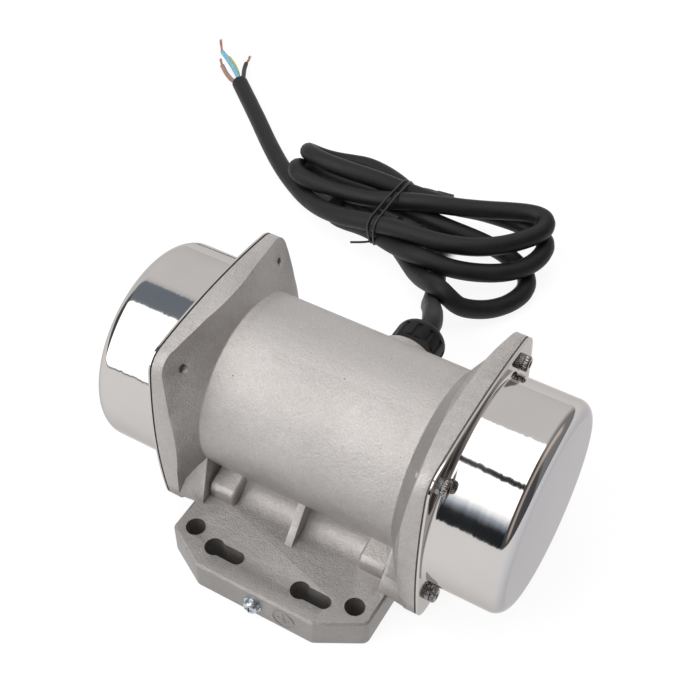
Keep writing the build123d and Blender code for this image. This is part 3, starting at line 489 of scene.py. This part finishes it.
speckle = cast.band(grit * 0.5 + pebble * 0.5, 0.36, 0.64)
skin = speckle * 0.45 + cast.band(mottle * 0.5 + cloud * 0.5, 0.36, 0.64) * 0.55
skin = skin * (1 - plate_field * 0.5) + plate_field * 0.36
blasted = cast.mix(skin, tone(170, 167, 165), tone(202, 199, 197))
bare_metal = cast.mix(cast.band(grit, 0.60, 0.72) * 0.7, blasted, tone(228, 226, 225))
# painted shade: a darker tone laid on the foot and on the right flare
painted_shade_tone = cast.mix(skin, tone(136, 133, 131), tone(164, 161, 159))
foot = cast.smooth(at_z, 0.0148, 0.0215, 1.0, 0.0) * cast.smooth(cast.size(at_y), 0.031, 0.036)
painted_shade = (foot * 0.8) | (flare * cast.smooth(at_x, 0.0, 0.01) * 0.6)
cast_aluminium = cast.surface(
    Base_Color=cast.mix(cast.band(pits, 0.17, 0.23), tone(110, 108, 107),
                        cast.mix(painted_shade, bare_metal, painted_shade_tone)),
    Metallic=0.75,
    Roughness=cast.band(mottle, 0.3, 0.7, 0.42, 0.56),
    Normal=cast.bump(grit, 0.55, 0.0003, cast.bump(pebble, 0.5, 0.0005, cast.bump(mottle, 0.25, 0.0012))))
print("casting's skin has", len(cast.tree.nodes), "nodes")

# %% [markdown]
# The end caps are drawn from bright stainless sheet and polished while they spin, which
# leaves fine rings round them. A bump would be lost in a mirror, so the normal itself is
# tipped along the shaft's rings by a very small amount. The flat end is a little cooler.

# %% Drawn stainless sheet
sheet = Finish("polished_steel")
smear = sheet.noise(45, 3)
polish_lines = sheet.noise(1.0, 3, 0.7, sheet.stretch(520, 9, 9))
fine_lines = sheet.noise(1.0, 2, 0.6, sheet.stretch(2600, 40, 40))
ripple = sheet.noise(24, 2)
polished_steel = sheet.surface(
    Base_Color=sheet.mix(sheet.smooth(sheet.size(sheet.axes()[0]), 0.0965, 0.0993),
                         sheet.mix(smear, tone(194, 191, 190), tone(204, 201, 199)),
                         sheet.mix(smear, tone(178, 179, 184), tone(188, 189, 194))),
    Metallic=1.0,
    Specular_Tint=(0.68, 0.66, 0.65, 1.0),
    Roughness=sheet.band(smear * 0.6 + fine_lines * 0.5, 0.35, 0.8, 0.05, 0.11),
    Normal=sheet.sway((polish_lines - 0.5) * 0.04 + (fine_lines - 0.5) * 0.012 + (ripple - 0.5) * 0.05))
print("cap's skin has", len(sheet.tree.nodes), "nodes")

# %% [markdown]
# The other metals differ by tone, shine and grain: cool zinc on the earth screw and the
# washers, darker steel on the cap screws, ground rings and shaft, oiled weights and the
# pressure-cast cage of the rotor. One function makes them all.

# %% Zinc plating, ground steel and dull steel
def metal(name, dark, light, low, high, scale=600.0, metallic=1.0, bump=0.1):
    """A plain metal skin: two tones and two roughnesses from one noise."""
    made = Finish(name)
    spots = made.noise(scale, 3)
    wide = made.noise(scale / 9, 2)
    return made.surface(
        Base_Color=made.mix(made.band(spots * 0.5 + wide * 0.5, 0.35, 0.65), dark, light),
        Metallic=metallic,
        Roughness=made.band(spots, 0.3, 0.7, low, high),
        Normal=made.bump(spots, bump, 0.0003))


zinc_steel = metal("zinc_plated_steel", tone(168, 176, 186), tone(205, 210, 214), 0.2, 0.36)
screw_steel = metal("screw_steel", tone(118, 114, 112), tone(168, 163, 160), 0.12, 0.3, 900, 1.0, 0.3)
ground_steel = metal("bearing_steel", tone(160, 161, 164), tone(190, 191, 193), 0.16, 0.28, 1200)
shaft_steel = metal("shaft_steel", tone(150, 151, 154), tone(182, 183, 185), 0.2, 0.32, 900)
oiled_steel = metal("weight_steel", tone(104, 105, 108), tone(132, 133, 136), 0.35, 0.55, 350, 0.9, 0.25)
die_cast = metal("cage_aluminium", tone(172, 173, 175), tone(196, 197, 199), 0.35, 0.5, 700, 0.8, 0.2)
print("finishes with the plain metals:", len(bpy.data.materials))

# %% [markdown]
# Stator and rotor are stacks of thin stamped sheet, so their sides show fine lines
# across the shaft. Half a millimetre a sheet is a common thickness.

# %% Stacked sheet
sheets_per_metre = 2000.0
stack = Finish("core_laminations")
along_x = stack.axes()[0]
joint = stack.node("ShaderNodeMath", {"operation": "FRACT"}, {0: along_x * sheets_per_metre})
gap = stack.band(joint, 0.0, 0.25)
tint = stack.noise(300, 3)
core_laminations = stack.surface(
    Base_Color=stack.mix(gap, tone(58, 60, 64), stack.mix(tint, tone(96, 98, 104), tone(120, 122, 128))),
    Metallic=0.85, Roughness=stack.band(tint, 0.3, 0.7, 0.4, 0.58),
    Normal=stack.bump(gap, 0.4, 0.0001))
print("sheets a metre", sheets_per_metre)

# %% [markdown]
# ## Finishes of rubber and plastic
# The gaskets are plain sheet rubber, black on the left and grey on the right. The gland
# is moulded nylon with a fine spark-eroded skin, and the cores wear thin glossy
# insulation. The winding's enamel is made alike, and bare copper is one more metal.

# %% Plain plastics
def plastic(name, dark, light, low, high, scale=900.0, bump=0.15, specular=0.5):
    """Moulded or extruded plastic: a faint mottle, and a fine skin."""
    made = Finish(name)
    skin_noise = made.noise(scale, 3)
    tint_noise = made.noise(scale / 12, 3)
    return made.surface(
        Base_Color=made.mix(tint_noise, dark, light),
        Roughness=made.band(skin_noise, 0.3, 0.7, low, high),
        Specular_IOR_Level=specular,
        Normal=made.bump(skin_noise, bump, 0.0003))


gasket_rubber = plastic("gasket_rubber", tone(30, 30, 30), tone(44, 44, 44), 0.6, 0.8)
gasket_grey = plastic("gasket_grey", tone(84, 83, 82), tone(104, 103, 102), 0.6, 0.8)
gland_plastic = plastic("gland_plastic", tone(13, 13, 14), tone(20, 20, 21), 0.42, 0.6, 1800, 0.3, 0.25)
tie_plastic = plastic("tie_plastic", tone(26, 26, 27), tone(38, 38, 39), 0.35, 0.5)
winding_enamel = plastic("winding_enamel", tone(120, 58, 28), tone(160, 84, 42), 0.2, 0.4, 500, 0.4)
copper_strands = metal("copper_strands", tone(186, 128, 104), tone(222, 172, 146), 0.25, 0.4, 1500)
core_brown = plastic("core_brown", tone(146, 112, 98), tone(166, 132, 116), 0.3, 0.45)
core_blue = plastic("core_blue", tone(98, 170, 200), tone(122, 190, 214), 0.3, 0.45)
core_black = plastic("core_black", tone(28, 28, 30), tone(40, 40, 42), 0.3, 0.45)
print("finishes so far:", len(bpy.data.materials))

# %% [markdown]
# The earth core is green with a yellow stripe along one side. The core lies nearly
# flat, so everything on it above one height is yellow.

# %% Green with a yellow stripe
stripe_height = 0.0032
stripe = Finish("core_earth")
stripe_side = stripe.axes()[2]
stripe_tint = stripe.noise(200, 2)
core_earth = stripe.surface(
    Base_Color=stripe.mix(stripe_side > stripe_height,
                          stripe.mix(stripe_tint, tone(96, 130, 30), tone(112, 146, 40)),
                          tone(214, 204, 60)),
    Roughness=stripe.band(stripe_tint, 0.3, 0.7, 0.3, 0.45))
print("yellow above", stripe_height, "m")

# %% [markdown]
# Every solid gets its finish, the hidden ones too: the windings, weights and bearings
# show when a cap is taken off or the casting is cut open.

# %% Dress the solids
def both(*kinds):
    """The names of these kinds of piece on the left and on the right."""
    return [side_name + "_" + kind for side_name in sides for kind in kinds]


dress(cast_aluminium, "motor_housing", *both("bearing_shield"))
dress(polished_steel, *both("end_cap"))
dress(gasket_rubber, "gland_seal", "left_cap_gasket")
dress(gasket_grey, "right_cap_gasket")
dress(zinc_steel, "earth_screw", "earth_washers",
      *both("cap_screws", "cap_washers", "shield_screws", "clamp_screw"))
dress(ground_steel, *both("bearing_outer_ring", "bearing_inner_ring"))
dress(shaft_steel, "rotor_shaft", *both("weight_key", "shaft_circlip"))
dress(oiled_steel, *both("fixed_weight", "adjustable_weight"))
dress(die_cast, "rotor_end_rings")
dress(core_laminations, "stator_core", "rotor_core")
dress(winding_enamel, "stator_windings")
dress(gland_plastic, "gland_body", "gland_nut")
dress(tie_plastic, "cable_tie")
for colour, core in zip(cores, (core_brown, core_blue, core_earth, core_black)):
    dress(core, "core_" + colour)
dress(copper_strands, *["bare_wire_" + c for c in cores])
print("finishes:", len(bpy.data.materials))

# %% [markdown]
# ## The casting's rounded edges
# Molten metal never fills a sharp corner, so every edge of a casting is a small round
# that catches a line of light. The solid's edges are sharp: a merged copy of it, with
# its flat faces joined up, gets one narrow bevel wherever two faces meet at an angle.

# %% Round the casting
edge_width, edge_angle = 0.0006, 32


def copy_of(name, node, change=None):
    """A merged copy of a solid, ready for modifiers."""
    skin = bmesh.new()
    skin.from_mesh(nodes[node].data)
    bmesh.ops.remove_doubles(skin, verts=skin.verts, dist=2e-6)
    if change:
        change(skin)
    bmesh.ops.dissolve_limit(skin, angle_limit=math.radians(0.5), verts=skin.verts, edges=skin.edges)
    return add_object(name, mesh_from(skin, name))


def soften(piece, width, angle, segments=2):
    """A bevel on the sharp edges, applied, and smooth shading elsewhere."""
    bevel = piece.modifiers.new("round", "BEVEL")
    bevel.width = width
    bevel.segments = segments
    bevel.limit_method = "ANGLE"
    bevel.angle_limit = math.radians(angle)
    bevel.miter_outer = "MITER_ARC"
    piece.data.shade_smooth()
    apply_modifiers(piece)
    piece.data.set_sharp_from_angle(angle=math.radians(28))


print("edges rounded by", edge_width, "m")

# %% [markdown]
# The solid has a wide hollow round where each flare rises from the barrel. On the real
# casting that corner is crisp, so the points on the wide round move to a tighter one
# with the same tangents before the edges are rounded.

# %% Tighten the flares
flare_corner = 0.0472
flare_slope = math.atan2(12, 8)
cad_round, true_round = 0.006, 0.0012


def tighten(skin):
    """Points on the wide hollow round at the foot of each flare move to a tighter one."""
    moved = 0
    for vertex in skin.verts:
        x, y, z = vertex.co.x, vertex.co.y, vertex.co.z - shaft_z
        radius = math.hypot(y, z)
        along = abs(x) - flare_corner + cad_round * math.tan(flare_slope / 2)
        outward = barrel_radius + cad_round - radius
        if abs(math.hypot(along, outward) - cad_round) > 0.00005 or radius < barrel_radius - 0.0001:
            continue
        angle = math.atan2(along, outward)
        if not -0.01 < angle < flare_slope + 0.01:
            continue
        new_x = flare_corner - true_round * math.tan(flare_slope / 2) + true_round * math.sin(angle)
        new_radius = barrel_radius + true_round - true_round * math.cos(angle)
        vertex.co = (math.copysign(new_x, x), y / radius * new_radius, z / radius * new_radius + shaft_z)
        moved += 1
    print("points moved", moved)


casting = copy_of("casting", "motor_housing", tighten)
print("casting before", len(casting.data.polygons))
soften(casting, edge_width, edge_angle)
casting.data.materials.clear()
casting.data.materials.append(cast_aluminium)
take_over(casting, "cast_aluminium", "motor_housing")
print("casting after", len(casting.data.polygons))

# %% [markdown]
# ## The end caps
# Each cap is a cup pressed from one sheet: a flat end, a rounded edge, a straight wall
# and a flat square flange with bowed sides. A mirror finish shows every facet, so the
# cup is turned here as rings of 256 points with its normals smoothed. First come its
# measures: the flange's outline and the cup's half profile.

# %% The cap's outline and profile
cap_radius, sheet_thickness = 0.0481, 0.001
seat_x, flange_x, end_x = 0.0642, 0.0652, 0.0995
edge_round, neck_round = 0.0062, 0.0016
flange_half, side_bow, corner_round = 0.0509, 0.280, 0.010
bow_centre = side_bow - flange_half
corner_to_screw, screw_hole_radius = 0.00934, 0.00225
screw_offset = (math.sqrt(2 * side_bow ** 2 - bow_centre ** 2) - bow_centre) / 2 - corner_to_screw
around = 256


def square_reach(turn):
    """How far the bowed square with round corners reaches from the shaft at this turn."""
    fold = abs((turn + math.pi / 4) % (math.pi / 2) - math.pi / 4)
    side_reach = -bow_centre * math.cos(fold) + math.sqrt(side_bow ** 2 - (bow_centre * math.sin(fold)) ** 2)
    # the corner's circle touches both sides from inside, with its centre on the diagonal
    inner = side_bow - corner_round
    centre = (-bow_centre + math.sqrt(2 * inner ** 2 - bow_centre ** 2)) / 2
    diagonal = centre * math.sqrt(2)
    off = math.pi / 4 - fold
    touch = math.atan2(centre, centre + bow_centre)
    touch_y, touch_z = -bow_centre + side_bow * math.cos(touch), side_bow * math.sin(touch)
    if fold <= math.atan2(touch_z, touch_y):
        return side_reach
    return diagonal * math.cos(off) + math.sqrt(corner_round ** 2 - (diagonal * math.sin(off)) ** 2)


def cap_profile(outer):
    """The cup's half profile from its middle to the neck: pairs of length and radius."""
    wall = cap_radius if outer else cap_radius - sheet_thickness
    end = end_x if outer else end_x - sheet_thickness
    bend = edge_round if outer else edge_round - sheet_thickness
    line = [(end, wall * share) for share in (0.25, 0.5, 0.7, 0.8)] + [(end, wall - bend - 0.0008)]
    for step in range(13):
        turn = math.pi / 2 * step / 12
        line.append((end - bend + bend * math.cos(turn), wall - bend + bend * math.sin(turn)))
    line += [(end - bend - 0.0008, wall), (flange_x + neck_round + 0.0008, wall)]
    if outer:
        for step in range(7):
            turn = math.pi / 2 * step / 6
            line.append((flange_x + neck_round - neck_round * math.sin(turn),
                         wall + neck_round - neck_round * math.cos(turn)))
        line.append((flange_x, wall + neck_round + 0.0004))
    else:
        line.append((seat_x, wall))
    return line


print("profile of", len(cap_profile(True)), "points, screws", round(screw_offset, 5), "m off the shaft")

# %% [markdown]
# The rings run over the outside, spread from the round neck to the square outline,
# turn over the flange's edge and come back along the inside, so the cap is one closed
# skin with the thickness of its sheet.

# %% Turn a cap
def turn_cap(name, side):
    """A cap as one closed skin."""
    skin = bmesh.new()
    turns = [math.tau * k / around for k in range(around)]
    rings = []

    def ring_of(x, reaches):
        rings.append([skin.verts.new((side * x, r * math.sin(t), shaft_z + r * math.cos(t)))
                      for t, r in zip(turns, reaches)])

    outer = cap_profile(True)
    for x, r in outer:
        ring_of(x, [r] * around)
    neck = outer[-1][1]
    rim = 0.0003
    full = [square_reach(t) for t in turns]
    for share in (0.4, 0.8):
        ring_of(flange_x, [neck + (f - rim - neck) * share for f in full])
    ring_of(flange_x, [f - rim for f in full])
    ring_of(flange_x - rim * 0.3, [f - rim * 0.3 for f in full])
    ring_of(flange_x - rim, full)
    ring_of(seat_x, full)
    inner = list(reversed(cap_profile(False)))
    for share in (0.6, 0.3):
        ring_of(seat_x, [inner[0][1] + (f - inner[0][1]) * share for f in full])
    for x, r in inner:
        ring_of(x, [r] * around)
    for first, second in zip(rings, rings[1:]):
        for k in range(around):
            skin.faces.new((first[k], first[k - 1], second[k - 1], second[k]))
    for ring, x in ((rings[0], end_x), (rings[-1], end_x - sheet_thickness)):
        middle = skin.verts.new((side * x, 0, shaft_z))
        for k in range(around):
            skin.faces.new((ring[k - 1], ring[k], middle))
    bmesh.ops.recalc_face_normals(skin, faces=skin.faces)
    mesh = mesh_from(skin, name)
    mesh.materials.append(polished_steel)
    mesh.shade_smooth()
    mesh.set_sharp_from_angle(angle=math.radians(40))
    return add_object(name, mesh)


turned_caps = {side_name: turn_cap(side_name + "_cap", side) for side_name, side in sides.items()}
print("caps turned:", *turned_caps)

# %% [markdown]
# The flange is pierced for its four screws after the cup is drawn, as it would be in
# the press shop.

# %% Pierce the caps
def pierce(piece, side):
    """The four screw holes through a cap's flange."""
    drills = bmesh.new()
    for y in (-screw_offset, screw_offset):
        for z in (-screw_offset, screw_offset):
            place = Matrix.Translation((side * (seat_x + sheet_thickness / 2), y, shaft_z + z))
            bmesh.ops.create_cone(drills, cap_ends=True, segments=32, radius1=screw_hole_radius,
                                  radius2=screw_hole_radius, depth=0.006,
                                  matrix=place @ Matrix.Rotation(math.pi / 2, 4, "Y"))
    tool = add_object("drills", mesh_from(drills, "drills"))
    cut = piece.modifiers.new("holes", "BOOLEAN")
    cut.object = tool
    cut.operation = "DIFFERENCE"
    cut.solver = "EXACT"
    apply_modifiers(piece)
    bpy.data.objects.remove(tool)


for side_name, cap in turned_caps.items():
    pierce(cap, sides[side_name])
    take_over(cap, "polished_steel", side_name + "_end_cap")
    print(cap.name, len(cap.data.polygons), "faces, reach", round(max(v.co.y for v in cap.data.vertices), 4))

# %% [markdown]
# ## Cap screws
# Socket screws are cold headed and knurled round the head, and each one stops at its
# own angle when it is tight. One screw is made as rings of points: shank, seat, knurled
# head and the six sides of the key's socket.

# %% One cap screw
head_seat_x, shank_radius, head_radius, key_half = 0.066, 0.002, 0.0035, 0.0015
head_points = 60


def screw_rings(side):
    """A knurled socket head with its shank, along the shaft's direction from the washer."""
    skin = bmesh.new()
    turns = [math.tau * k / head_points for k in range(head_points)]
    knurl = [head_radius if k % 3 else 0.0032 for k in range(head_points)]
    key = [key_half / math.cos((t + math.pi / 6) % (math.pi / 3) - math.pi / 6) for t in turns]

    def round_ring(radius):
        return [radius] * head_points

    shape = [(-0.008, round_ring(0.0018)), (-0.0076, round_ring(shank_radius)),
             (0.0, round_ring(shank_radius)), (0.0, round_ring(0.0033)),
             (0.0002, knurl), (0.0021, knurl), (0.0025, round_ring(0.0031)), (0.0028, round_ring(0.0028)),
             (0.0028, [k + 0.0002 for k in key]), (0.00262, key), (0.001, key)]
    rings = [[skin.verts.new((side * x, r * math.cos(t), r * math.sin(t))) for t, r in zip(turns, reaches)]
             for x, reaches in shape]
    for first, second in zip(rings, rings[1:]):
        for k in range(head_points):
            skin.faces.new((first[k - 1], first[k], second[k], second[k - 1]))
    skin.faces.new(rings[0])
    skin.faces.new(rings[-1])
    bmesh.ops.recalc_face_normals(skin, faces=skin.faces)
    mesh = mesh_from(skin, "screw")
    mesh.set_sharp_from_angle(angle=math.radians(35))
    return mesh


print("screw heads of", 2 * head_radius, "m across")

# %% [markdown]
# A small geometry tree puts that screw on the four corners of the flange, with a turn
# of its own each time.

# %% The screws on their corners
corner_tree = bpy.data.node_groups.new("on_four_corners", "GeometryNodeTree")
sockets = {}
for label, kind, way in (("Screw", "NodeSocketGeometry", "INPUT"),
                         ("Spacing", "NodeSocketFloat", "INPUT"),
                         ("Along the shaft", "NodeSocketFloat", "INPUT"),
                         ("Seed", "NodeSocketInt", "INPUT"),
                         ("Finish", "NodeSocketMaterial", "INPUT"),
                         ("Screws", "NodeSocketGeometry", "OUTPUT")):
    sockets[label] = corner_tree.interface.new_socket(label, in_out=way, socket_type=kind)
given = corner_tree.nodes.new("NodeGroupInput")
result = corner_tree.nodes.new("NodeGroupOutput")
corners = corner_tree.nodes.new("GeometryNodeMeshGrid")
corners.inputs["Vertices X"].default_value = 2
corners.inputs["Vertices Y"].default_value = 2
stand = corner_tree.nodes.new("GeometryNodeTransform")
stand.inputs["Rotation"].default_value = (0, math.pi / 2, 0)
place_by = corner_tree.nodes.new("ShaderNodeCombineXYZ")
place_by.inputs["Z"].default_value = shaft_z
spin = corner_tree.nodes.new("FunctionNodeRandomValue")
spin.data_type = "FLOAT_VECTOR"
spin.inputs[0].default_value = (0, 0, 0)
spin.inputs[1].default_value = (math.tau, 0, 0)
put = corner_tree.nodes.new("GeometryNodeInstanceOnPoints")
real = corner_tree.nodes.new("GeometryNodeRealizeInstances")
coat = corner_tree.nodes.new("GeometryNodeSetMaterial")
for start, end in ((given.outputs["Spacing"], corners.inputs["Size X"]),
                   (given.outputs["Spacing"], corners.inputs["Size Y"]),
                   (given.outputs["Along the shaft"], place_by.inputs["X"]),
                   (place_by.outputs[0], stand.inputs["Translation"]),
                   (corners.outputs["Mesh"], stand.inputs["Geometry"]),
                   (stand.outputs[0], put.inputs["Points"]), (given.outputs["Screw"], put.inputs["Instance"]),
                   (given.outputs["Seed"], spin.inputs["Seed"]), (spin.outputs[0], put.inputs["Rotation"]),
                   (put.outputs[0], real.inputs[0]), (real.outputs[0], coat.inputs["Geometry"]),
                   (given.outputs["Finish"], coat.inputs["Material"]), (coat.outputs[0], result.inputs[0])):
    corner_tree.links.new(start, end)

for side_name, side in sides.items():
    screws = add_object(side_name + "_screws", screw_rings(side))
    spread = screws.modifiers.new("corners", "NODES")
    spread.node_group = corner_tree
    for label, value in (("Spacing", 2 * screw_offset), ("Along the shaft", side * head_seat_x),
                         ("Seed", 4 + side), ("Finish", screw_steel)):
        spread[sockets[label].identifier] = value
    apply_modifiers(screws)
    take_over(screws, "zinc_plated_steel", side_name + "_cap_screws")
    print(screws.name, len(screws.data.polygons), "faces")

# %% [markdown]
# ## The wire tie
# The hank is held by a soft wire in black plastic, wound twice and twisted. It lies
# tight on the outermost strands, so its path is the hull of the strands' sections where
# they pass the tie, read from the cable's own line. Its ends stick out either way.

# %% Wire tie
def join_lines(name, lines, material):
    """Several round lines as one plain mesh."""
    whole = bmesh.new()
    for line in lines:
        part = plain_mesh(line)
        whole.from_mesh(part)
        bpy.data.meshes.remove(part)
        bpy.data.objects.remove(line)
    bmesh.ops.recalc_face_normals(whole, faces=whole.faces)
    mesh = mesh_from(whole, name)
    mesh.materials.clear()
    mesh.materials.append(material)
    mesh.shade_smooth()
    mesh.set_sharp_from_angle(angle=math.radians(50))
    return add_object(name, mesh)


tie_low, tie_high = (Vector(corner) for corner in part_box("cable_tie"))
tie_x = (tie_low.x + tie_high.x) / 2
hank_front, hank_back, lowest_wire = 0.135, 0.225, 0.0009


def wrap(x, room=0.0058):
    """The hull of the strands where they pass this place, as points in millimetres."""
    rim = []
    for a, b in zip(cable_spots, cable_spots[1:]):
        if (a.x - x) * (b.x - x) > 0 or a.x == b.x:
            continue
        middle = a.lerp(b, (x - a.x) / (b.x - a.x))
        if not hank_front < middle.y < hank_back:
            continue
        rim += [Vector((middle.y + room * math.cos(t), max(lowest_wire, middle.z + room * math.sin(t))))
                for t in (math.tau * k / 20 for k in range(20))]
    loop = [rim[k] for k in convex_hull_2d(rim)]
    top = max(range(len(loop)), key=lambda k: loop[k].x + 0.9 * loop[k].y)
    loop = loop[top:] + loop[:top]
    thin = [loop[0]]
    for spot in loop[1:]:
        if (spot - thin[-1]).length > 0.0025:
            thin.append(spot)
    return [(x * 1000, spot.x * 1000, spot.y * 1000) for spot in thin]


first_wrap, second_wrap = wrap(tie_x - 0.0008), wrap(tie_x + 0.0012)
first_wrap = [(x - 1.2 * math.sin(math.pi * k / len(first_wrap)), y, z)
              for k, (x, y, z) in enumerate(first_wrap)]
second_wrap = [(x + 1.4 * math.sin(math.tau * k / len(second_wrap)), y, z)
               for k, (x, y, z) in enumerate(second_wrap)]
knot = first_wrap[0]
front = min(first_wrap, key=lambda spot: spot[1] + 0.7 * spot[2])


def stepped(start, *steps):
    """A line in millimetres that goes on from its start by these steps."""
    line = [start]
    for step in steps:
        line.append(tuple(a + b for a, b in zip(line[-1], step)))
    return line


wrap_wire, end_wire, sleeve = 0.0013, 0.0012, 0.0021
tie_lines = [
    smooth_line("tie_a", first_wrap + [first_wrap[0]], wrap_wire),
    smooth_line("tie_b", second_wrap + [second_wrap[0]], wrap_wire),
    smooth_line("tie_c", stepped(knot, (4, 0.8, 0.8), (5, 1, -0.2), (5, 1, -0.6)), end_wire),
    smooth_line("tie_d", stepped(tuple(a + b for a, b in zip(knot, (12, 2.4, 0.2))),
                                 (4, 0.9, -0.3), (5.5, 1.2, -0.4)), sleeve),
    smooth_line("tie_e", stepped(tuple(a + b for a, b in zip(knot, (12, 1.6, -0.6))),
                                 (3, -0.6, -0.9), (4.5, -0.8, -1.2)), wrap_wire),
    smooth_line("tie_f", stepped(front, (-1, -1.2, 0), (-3.5, -2.4, 0), (-4.5, -2.6, 0)), end_wire)]
wire_tie = join_lines("wire_tie", tie_lines, tie_plastic)
take_over(wire_tie, "tie_plastic", "cable_tie")
print("tie wraps of", len(first_wrap), "and", len(second_wrap), "points at", round(tie_x, 4))

# %% [markdown]
# ## Bare copper
# The cores are flexible, so each bare end is a rope of fine copper strands that
# loosens toward its tip. Every strand winds round the wire's middle line, and the
# outer ones spread a little more.

# %% Strands
wire_routes = {
    "brown": [(-240.6, 258.1, 4.2), (-244.0, 261.5, 4.0), (-246.0, 264.5, 3.8)],
    "blue": [(-248.1, 270.1, 5.0), (-253.5, 275.5, 4.4), (-259.0, 284.0, 3.8)],
    "earth": [(-243.1, 269.6, 2.7), (-247.5, 272.5, 2.6), (-252.5, 274.0, 2.5)],
    "black": [(-228.15, 267.8, 4.5), (-228.6, 272.0, 4.3), (-231.0, 277.0, 4.0)]}
chance = random.Random(7)
strands_a_core, outer_strands = 16, 11
strands = {}
for colour, route in wire_routes.items():
    start, middle, end = (Vector(spot) for spot in route)
    lines = []
    for k in range(strands_a_core):
        turn, reach_out = math.tau * k / outer_strands, 0.62 if k < outer_strands else 0.28
        loose, early = chance.uniform(0.1, 0.75), chance.uniform(0.86, 1.0)
        points = []
        for share in (0.0, 0.2, 0.4, 0.6, 0.8, 1.0):
            go = share * early
            spot = start * (1 - go) ** 2 + middle * 2 * go * (1 - go) + end * go ** 2
            ahead = ((middle - start) * (1 - go) + (end - middle) * go).normalized()
            aside = ahead.cross(Vector((0, 0, 1))).normalized()
            angle = turn + 2.6 * share
            away = reach_out * (1 + loose * share ** 2)
            spot += (aside * math.cos(angle) + ahead.cross(aside) * math.sin(angle)) * away
            points.append(tuple(spot))
        lines.append(smooth_line("strand", points, 0.0003, 3))
    strands[colour] = join_lines("strands_" + colour, lines, copper_strands)
    take_over(strands[colour], "copper_strands", "bare_wire_" + colour)
    print(colour, "strands", len(strands[colour].data.polygons), "faces")

# %% [markdown]
# The cable's one line stands for the three lengths of cable among the solids, which it
# hides. It rides on the housing's body, like the strands at its bare end.

# %% Join the cable to the model
take_over(cable, "cable_rubber", "supply_cable", "cable_hank", "cable_tail")
print("cord of", round(cable_length, 3), "m with", 2 * len(cores), "pieces")
